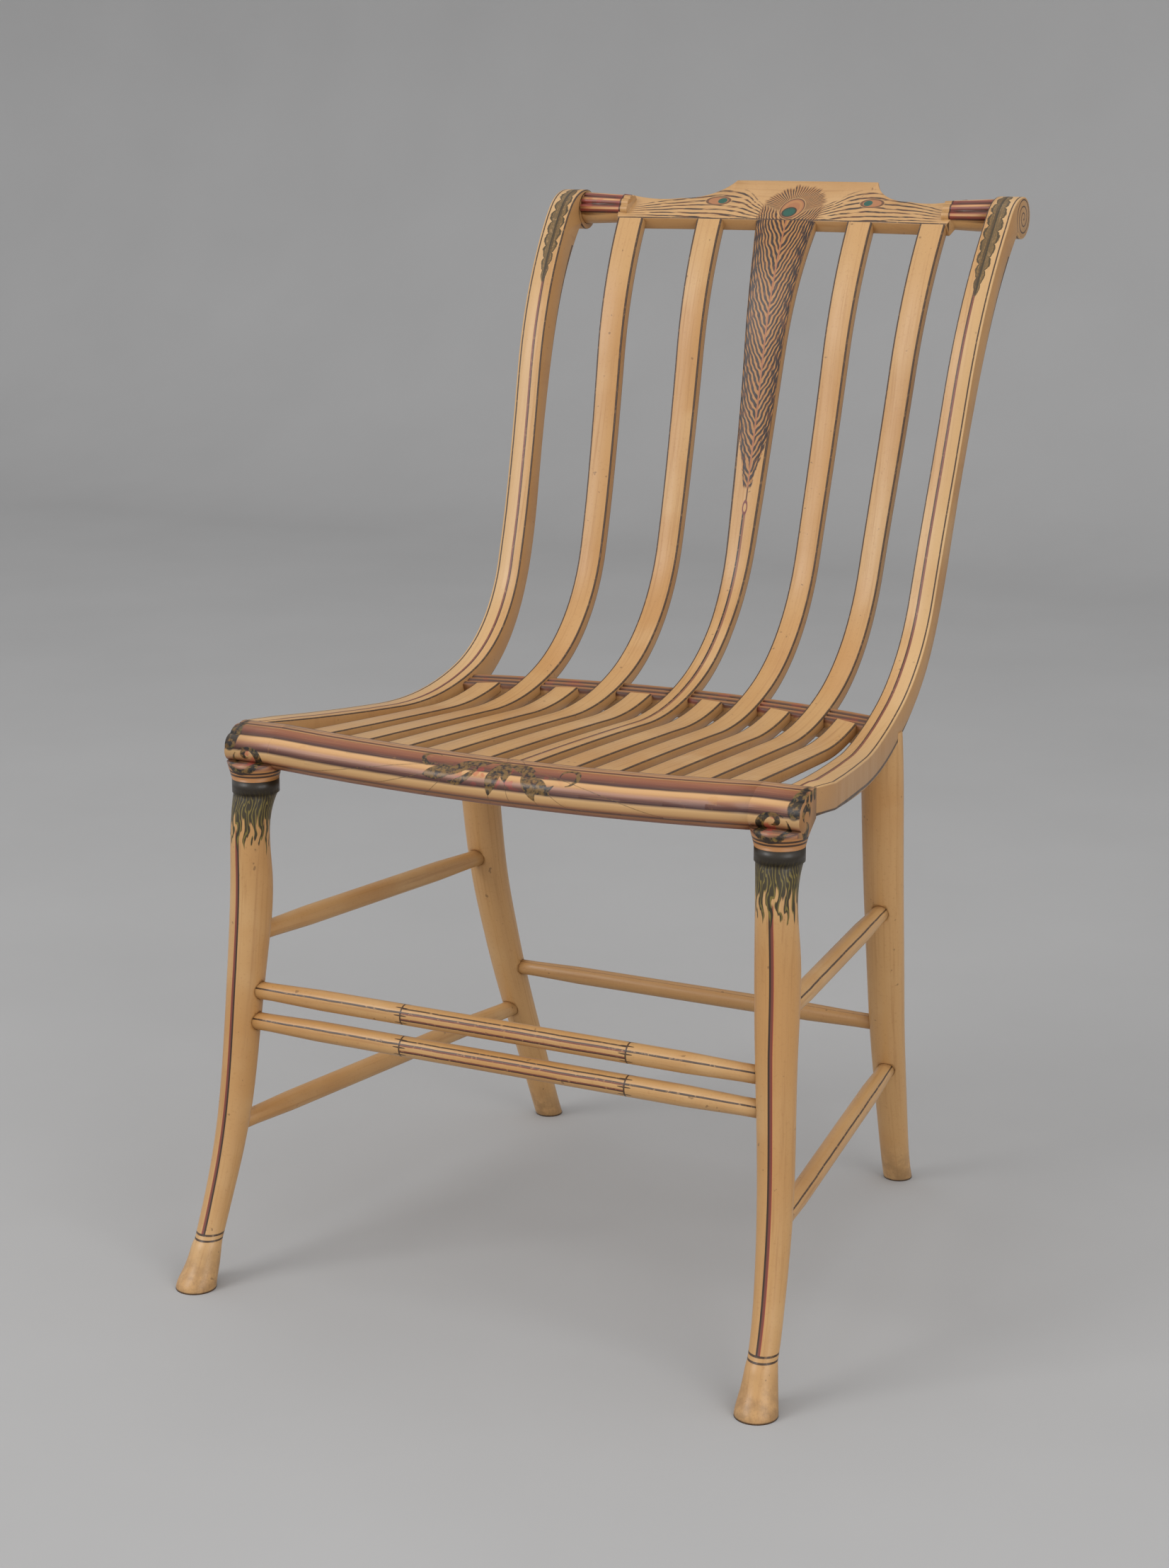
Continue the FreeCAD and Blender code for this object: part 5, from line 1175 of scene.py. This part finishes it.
def onRearRail(point, normal):
    # along, share of the way back over the top, and 1 near the top
    plan = rearRail
    slope = math.radians(plan["slope"])
    run = point.y - plan["y"] - bentLine["bowDepth"] * bowShare(point.x)
    rise = point.z - plan["z"]
    across = run * math.cos(slope) + rise * math.sin(slope)
    depth = run * math.sin(slope) - rise * math.cos(slope)
    return (point.x, across / plan["width"] + 0.5, 1.0 if depth < plan["topDepth"] else 0.0)


def rearRailPaint():
    plan = rearRail
    brush = Brush("rear_rail_paint")
    colour = brush.ground(brush.stretched(*zip((brush.x, brush.second, brush.z), plan["grain"])))
    top = brush.fade(brush.third, *plan["top"])
    # the reeds' bands, with painted highlights and painted groove shade
    shadedBands = brush.ramp(brush.sum("FRACT", brush.times(brush.second, plan["reeds"])), plan["shadedBands"])
    colour = brush.over(colour, shadedBands, brush.times(top, plan["bandStrength"]))
    colour = brush.paint(colour, "red", brush.patches(*plan["flushPatches"]), top, plan["flush"])
    # below its reeded top the rail is darkened: a glaze and painted shade
    return brush.done(brush.paint(colour, "sideGlazeAndShade", brush.flip(top), plan["glazeAndShade"]))


rearMesh = carvedCopy("rear_seat_rail", 0.0)
markPaint(rearMesh, [onRearRail])
finishPiece("rear_seat_rail", rearMesh, [rearRailPaint()])

# Stretchers: turned rods with painted lines, placed in degrees up from the rod's outer side.
stretchers = {
    "grainAlong": 8.0, "grainAcross": 330.0, "wanderPitch": 25.0, "wander": 9.0,
    "sideLine": (38.0, 4.0, 2.0), "sideStrength": 0.9, "endLine": (28.0, 4.5, 2.0), "endStrength": 0.92,
    "rearLine": (60.0, 2.0, 2.0), "rearWear": 0.9, "rearDarkening": 0.25, "rearStrength": 0.35,
    "lines": (
        (52.0, 3.5, 2.0, "dark", 0.55, 0.88), (24.0, 4.5, 2.0, "plum", 0.55, 0.88),
        (30.0, 2.5, 2.0, "dark", 0.55, 0.88), (-10.0, 5.0, 2.0, "plum", 0.55, 0.88),
        (-15.0, 2.5, 2.0, "dark", 0.55, 0.88)),
    "marks": (-0.0835, 0.1137), "markEdge": 0.001, "ring": (0.0005, 0.0004), "spike": 0.0065, "spikes": 8,
    "spikeEdge": (0.75, 1.0), "spikePoint": (0.0, 0.25), "spikeFull": 0.8, "spikeStrength": 0.9,
    "endShare": 0.02,
}


def rodRule(mesh, alongX):
    # the rod's own line, from the middles of its two ends
    spots = [vertex.co for vertex in mesh.vertices]
    axis = 0 if alongX else 1
    low, high = [pick(spot[axis] for spot in spots) for pick in (min, max)]
    near = (high - low) * stretchers["endShare"]

    def middleOf(end):
        close = [spot for spot in spots if abs(spot[axis] - end) < near]
        return sum(close, Vector()) / len(close)

    start, stop = middleOf(low), middleOf(high)
    direction = (stop - start).normalized()

    def squared(side):
        return (side - direction * side.dot(direction)).normalized()

    outward = squared(Vector((0, -1, 0)) if alongX else Vector((math.copysign(1, start.x), 0, 0)))
    upward = squared(Vector((0, 0, 1)))
    middle = (start + stop) / 2

    def rule(point, normal):
        offset = point - middle
        reach = point.x if alongX else offset.dot(direction)
        return (reach, offset.dot(outward), offset.dot(upward))
    return rule


def rodPaint(kind):
    plan = stretchers
    brush = Brush(kind + "_stretcher_paint")
    across = plan["grainAcross"]
    colour = brush.ground(brush.stretched(
        (brush.first, plan["grainAlong"]), (brush.second, across), (brush.third, across)))
    wander = brush.shaken(brush.stretched((brush.first, plan["wanderPitch"])), plan["wander"])
    turned = brush.add(brush.round(brush.third, brush.second), wander)
    if kind == "side":
        mask = brush.worn(brush.line(turned, *plan["sideLine"]))
        return brush.done(brush.paint(colour, "dark", mask, plan["sideStrength"]), mask)
    if kind == "rear":
        mask = brush.worn(brush.line(turned, *plan["rearLine"]), plan["rearWear"])
        # the whole rear rod is painted darker
        colour = brush.over(colour, paints["brownGlaze"], plan["rearDarkening"])
        return brush.done(brush.paint(colour, "dark", mask, plan["rearStrength"]), mask)
    # the front rods have bolder lines between two rings of spikes
    low, high = plan["marks"]
    edge = plan["markEdge"]
    inner = brush.times(
        brush.fade(brush.first, low, low + edge), brush.fade(brush.first, high, high - edge))
    ends = brush.worn(brush.line(turned, *plan["endLine"]))
    colour = brush.paint(colour, "dark", ends, brush.flip(inner), plan["endStrength"])
    colour = brush.ruled(colour, turned, plan["lines"], inner)[0]
    rays = brush.fade(brush.sine(brush.times(turned, math.radians(plan["spikes"]))), *plan["spikeEdge"])
    spike = plan["spike"]
    for at in (low, high):
        away = brush.size(brush.take(brush.first, at))
        pointed = brush.fade(brush.add(rays, brush.times(away, -1 / spike)), *plan["spikePoint"])
        spikes = brush.times(pointed, brush.fade(away, spike, spike * plan["spikeFull"]))
        ring = brush.line(brush.first, at, *plan["ring"])
        colour = brush.paint(colour, "dark", brush.most(ring, spikes), plan["spikeStrength"])
    return brush.done(colour, ends)


rodMaterials = {kind: rodPaint(kind) for kind in ("front", "side", "rear")}
for name in sorted(nodes):
    if "stretcher" in name:
        kind = name.split("_")[0]
        mesh = carvedCopy(name, 0.0)
        markPaint(mesh, [rodRule(mesh, kind != "side")])
        finishPiece(name, mesh, [rodMaterials[kind]])
print("stretchers painted")

# Pale paper sweep: a floor that curves up behind the chair.
sweepPlan = {
    "halfWidth": 6.0, "front": -5.0, "back": 3.2, "bend": 1.2, "height": 5.0, "steps": 16,
    "darker": tone(168, 167, 166), "paler": tone(176, 175, 174), "scale": 3.0, "detail": 5.0,
    "roughness": 0.9, "specular": 0.1,
}


def partsOf(geometry, kind):
    return [item for item in geometry if isinstance(item, kind)]


def paperSweep():
    plan = sweepPlan
    paper = bmesh.new()
    first = paper.verts.new((-plan["halfWidth"], plan["front"], 0))
    second = paper.verts.new((plan["halfWidth"], plan["front"], 0))
    edge = paper.edges.new((first, second))
    moved = bmesh.ops.extrude_edge_only(paper, edges=[edge])["geom"]
    verts = partsOf(moved, bmesh.types.BMVert)
    bmesh.ops.translate(paper, vec=(0, plan["back"] - plan["front"], 0), verts=verts)
    edges = [item for item in partsOf(moved, bmesh.types.BMEdge) if all(vert in verts for vert in item.verts)]
    spun = bmesh.ops.spin(
        paper, geom=edges + verts, cent=(0, plan["back"], plan["bend"]), axis=(1, 0, 0), dvec=(0, 0, 0),
        angle=math.radians(90), steps=plan["steps"], use_merge=False, use_duplicate=False)["geom_last"]
    wall = bmesh.ops.extrude_edge_only(paper, edges=partsOf(spun, bmesh.types.BMEdge))["geom"]
    bmesh.ops.translate(paper, vec=(0, 0, plan["height"]), verts=partsOf(wall, bmesh.types.BMVert))
    bmesh.ops.recalc_face_normals(paper, faces=paper.faces)
    mesh = bpy.data.meshes.new("paper_sweep")
    paper.to_mesh(mesh)
    paper.free()
    for face in mesh.polygons:
        face.use_smooth = True
    sweep = bpy.data.objects.new("paper_sweep", mesh)
    bpy.context.scene.collection.objects.link(sweep)
    return sweep


def paperMaterial():
    plan = sweepPlan
    material = bpy.data.materials.new("grey_paper")
    material.use_nodes = True
    tree = material.node_tree
    shader = tree.nodes["Principled BSDF"]
    where = tree.nodes.new("ShaderNodeTexCoord")
    noise = tree.nodes.new("ShaderNodeTexNoise")
    noise.inputs["Scale"].default_value = plan["scale"]
    noise.inputs["Detail"].default_value = plan["detail"]
    ramp = tree.nodes.new("ShaderNodeValToRGB")
    ramp.color_ramp.elements[0].color = plan["darker"]
    ramp.color_ramp.elements[1].color = plan["paler"]
    tree.links.new(where.outputs["Object"], noise.inputs["Vector"])
    tree.links.new(noise.outputs[0], ramp.inputs[0])
    tree.links.new(ramp.outputs[0], shader.inputs["Base Color"])
    shader.inputs["Roughness"].default_value = plan["roughness"]
    shader.inputs["Specular IOR Level"].default_value = plan["specular"]
    return material


paperSweep().data.materials.append(paperMaterial())

# Soft studio light from the upper left, with weaker light from the right and above.
lamps = {
    "key_lamp": {"place": (-1.9, -2.6, 2.5), "aim": (0, 0, 0.5), "size": 1.6, "power": 46},
    "fill_lamp": {"place": (2.6, -1.6, 1.8), "aim": (0, 0, 0.4), "size": 2.0, "power": 32},
    "top_lamp": {"place": (0.2, 0.3, 3.2), "aim": (0, 0.1, 0.3), "size": 2.6, "power": 8},
}


def softLamp(name, plan):
    data = bpy.data.lights.new(name, "AREA")
    data.shape = "SQUARE"
    data.size = plan["size"]
    data.energy = plan["power"]
    lamp = bpy.data.objects.new(name, data)
    lamp.location = plan["place"]
    lamp.rotation_euler = (Vector(plan["aim"]) - Vector(plan["place"])).to_track_quat("-Z", "Y").to_euler()
    bpy.context.scene.collection.objects.link(lamp)


for name, plan in lamps.items():
    softLamp(name, plan)

studio = {"colour": (0.97, 0.98, 1.0, 1), "strength": 0.80}
world = bpy.data.worlds.new("studio")
world.use_nodes = True
world.node_tree.nodes["Background"].inputs["Color"].default_value = studio["colour"]
world.node_tree.nodes["Background"].inputs["Strength"].default_value = studio["strength"]
bpy.context.scene.world = world

view = {"place": (0.977, -2.0323, 0.941), "yaw": 26.99, "down": 14.01, "lens": 63.21, "sensor": 36}
cameraData = bpy.data.cameras.new("camera")
cameraData.lens = view["lens"]
cameraData.sensor_width = view["sensor"]
camera = bpy.data.objects.new("camera", cameraData)
camera.location = view["place"]
camera.rotation_euler = (math.radians(90 - view["down"]), 0, math.radians(view["yaw"]))
bpy.context.scene.collection.objects.link(camera)
bpy.context.scene.camera = camera
bpy.context.scene.view_settings.view_transform = "Standard"

print("scene ready")
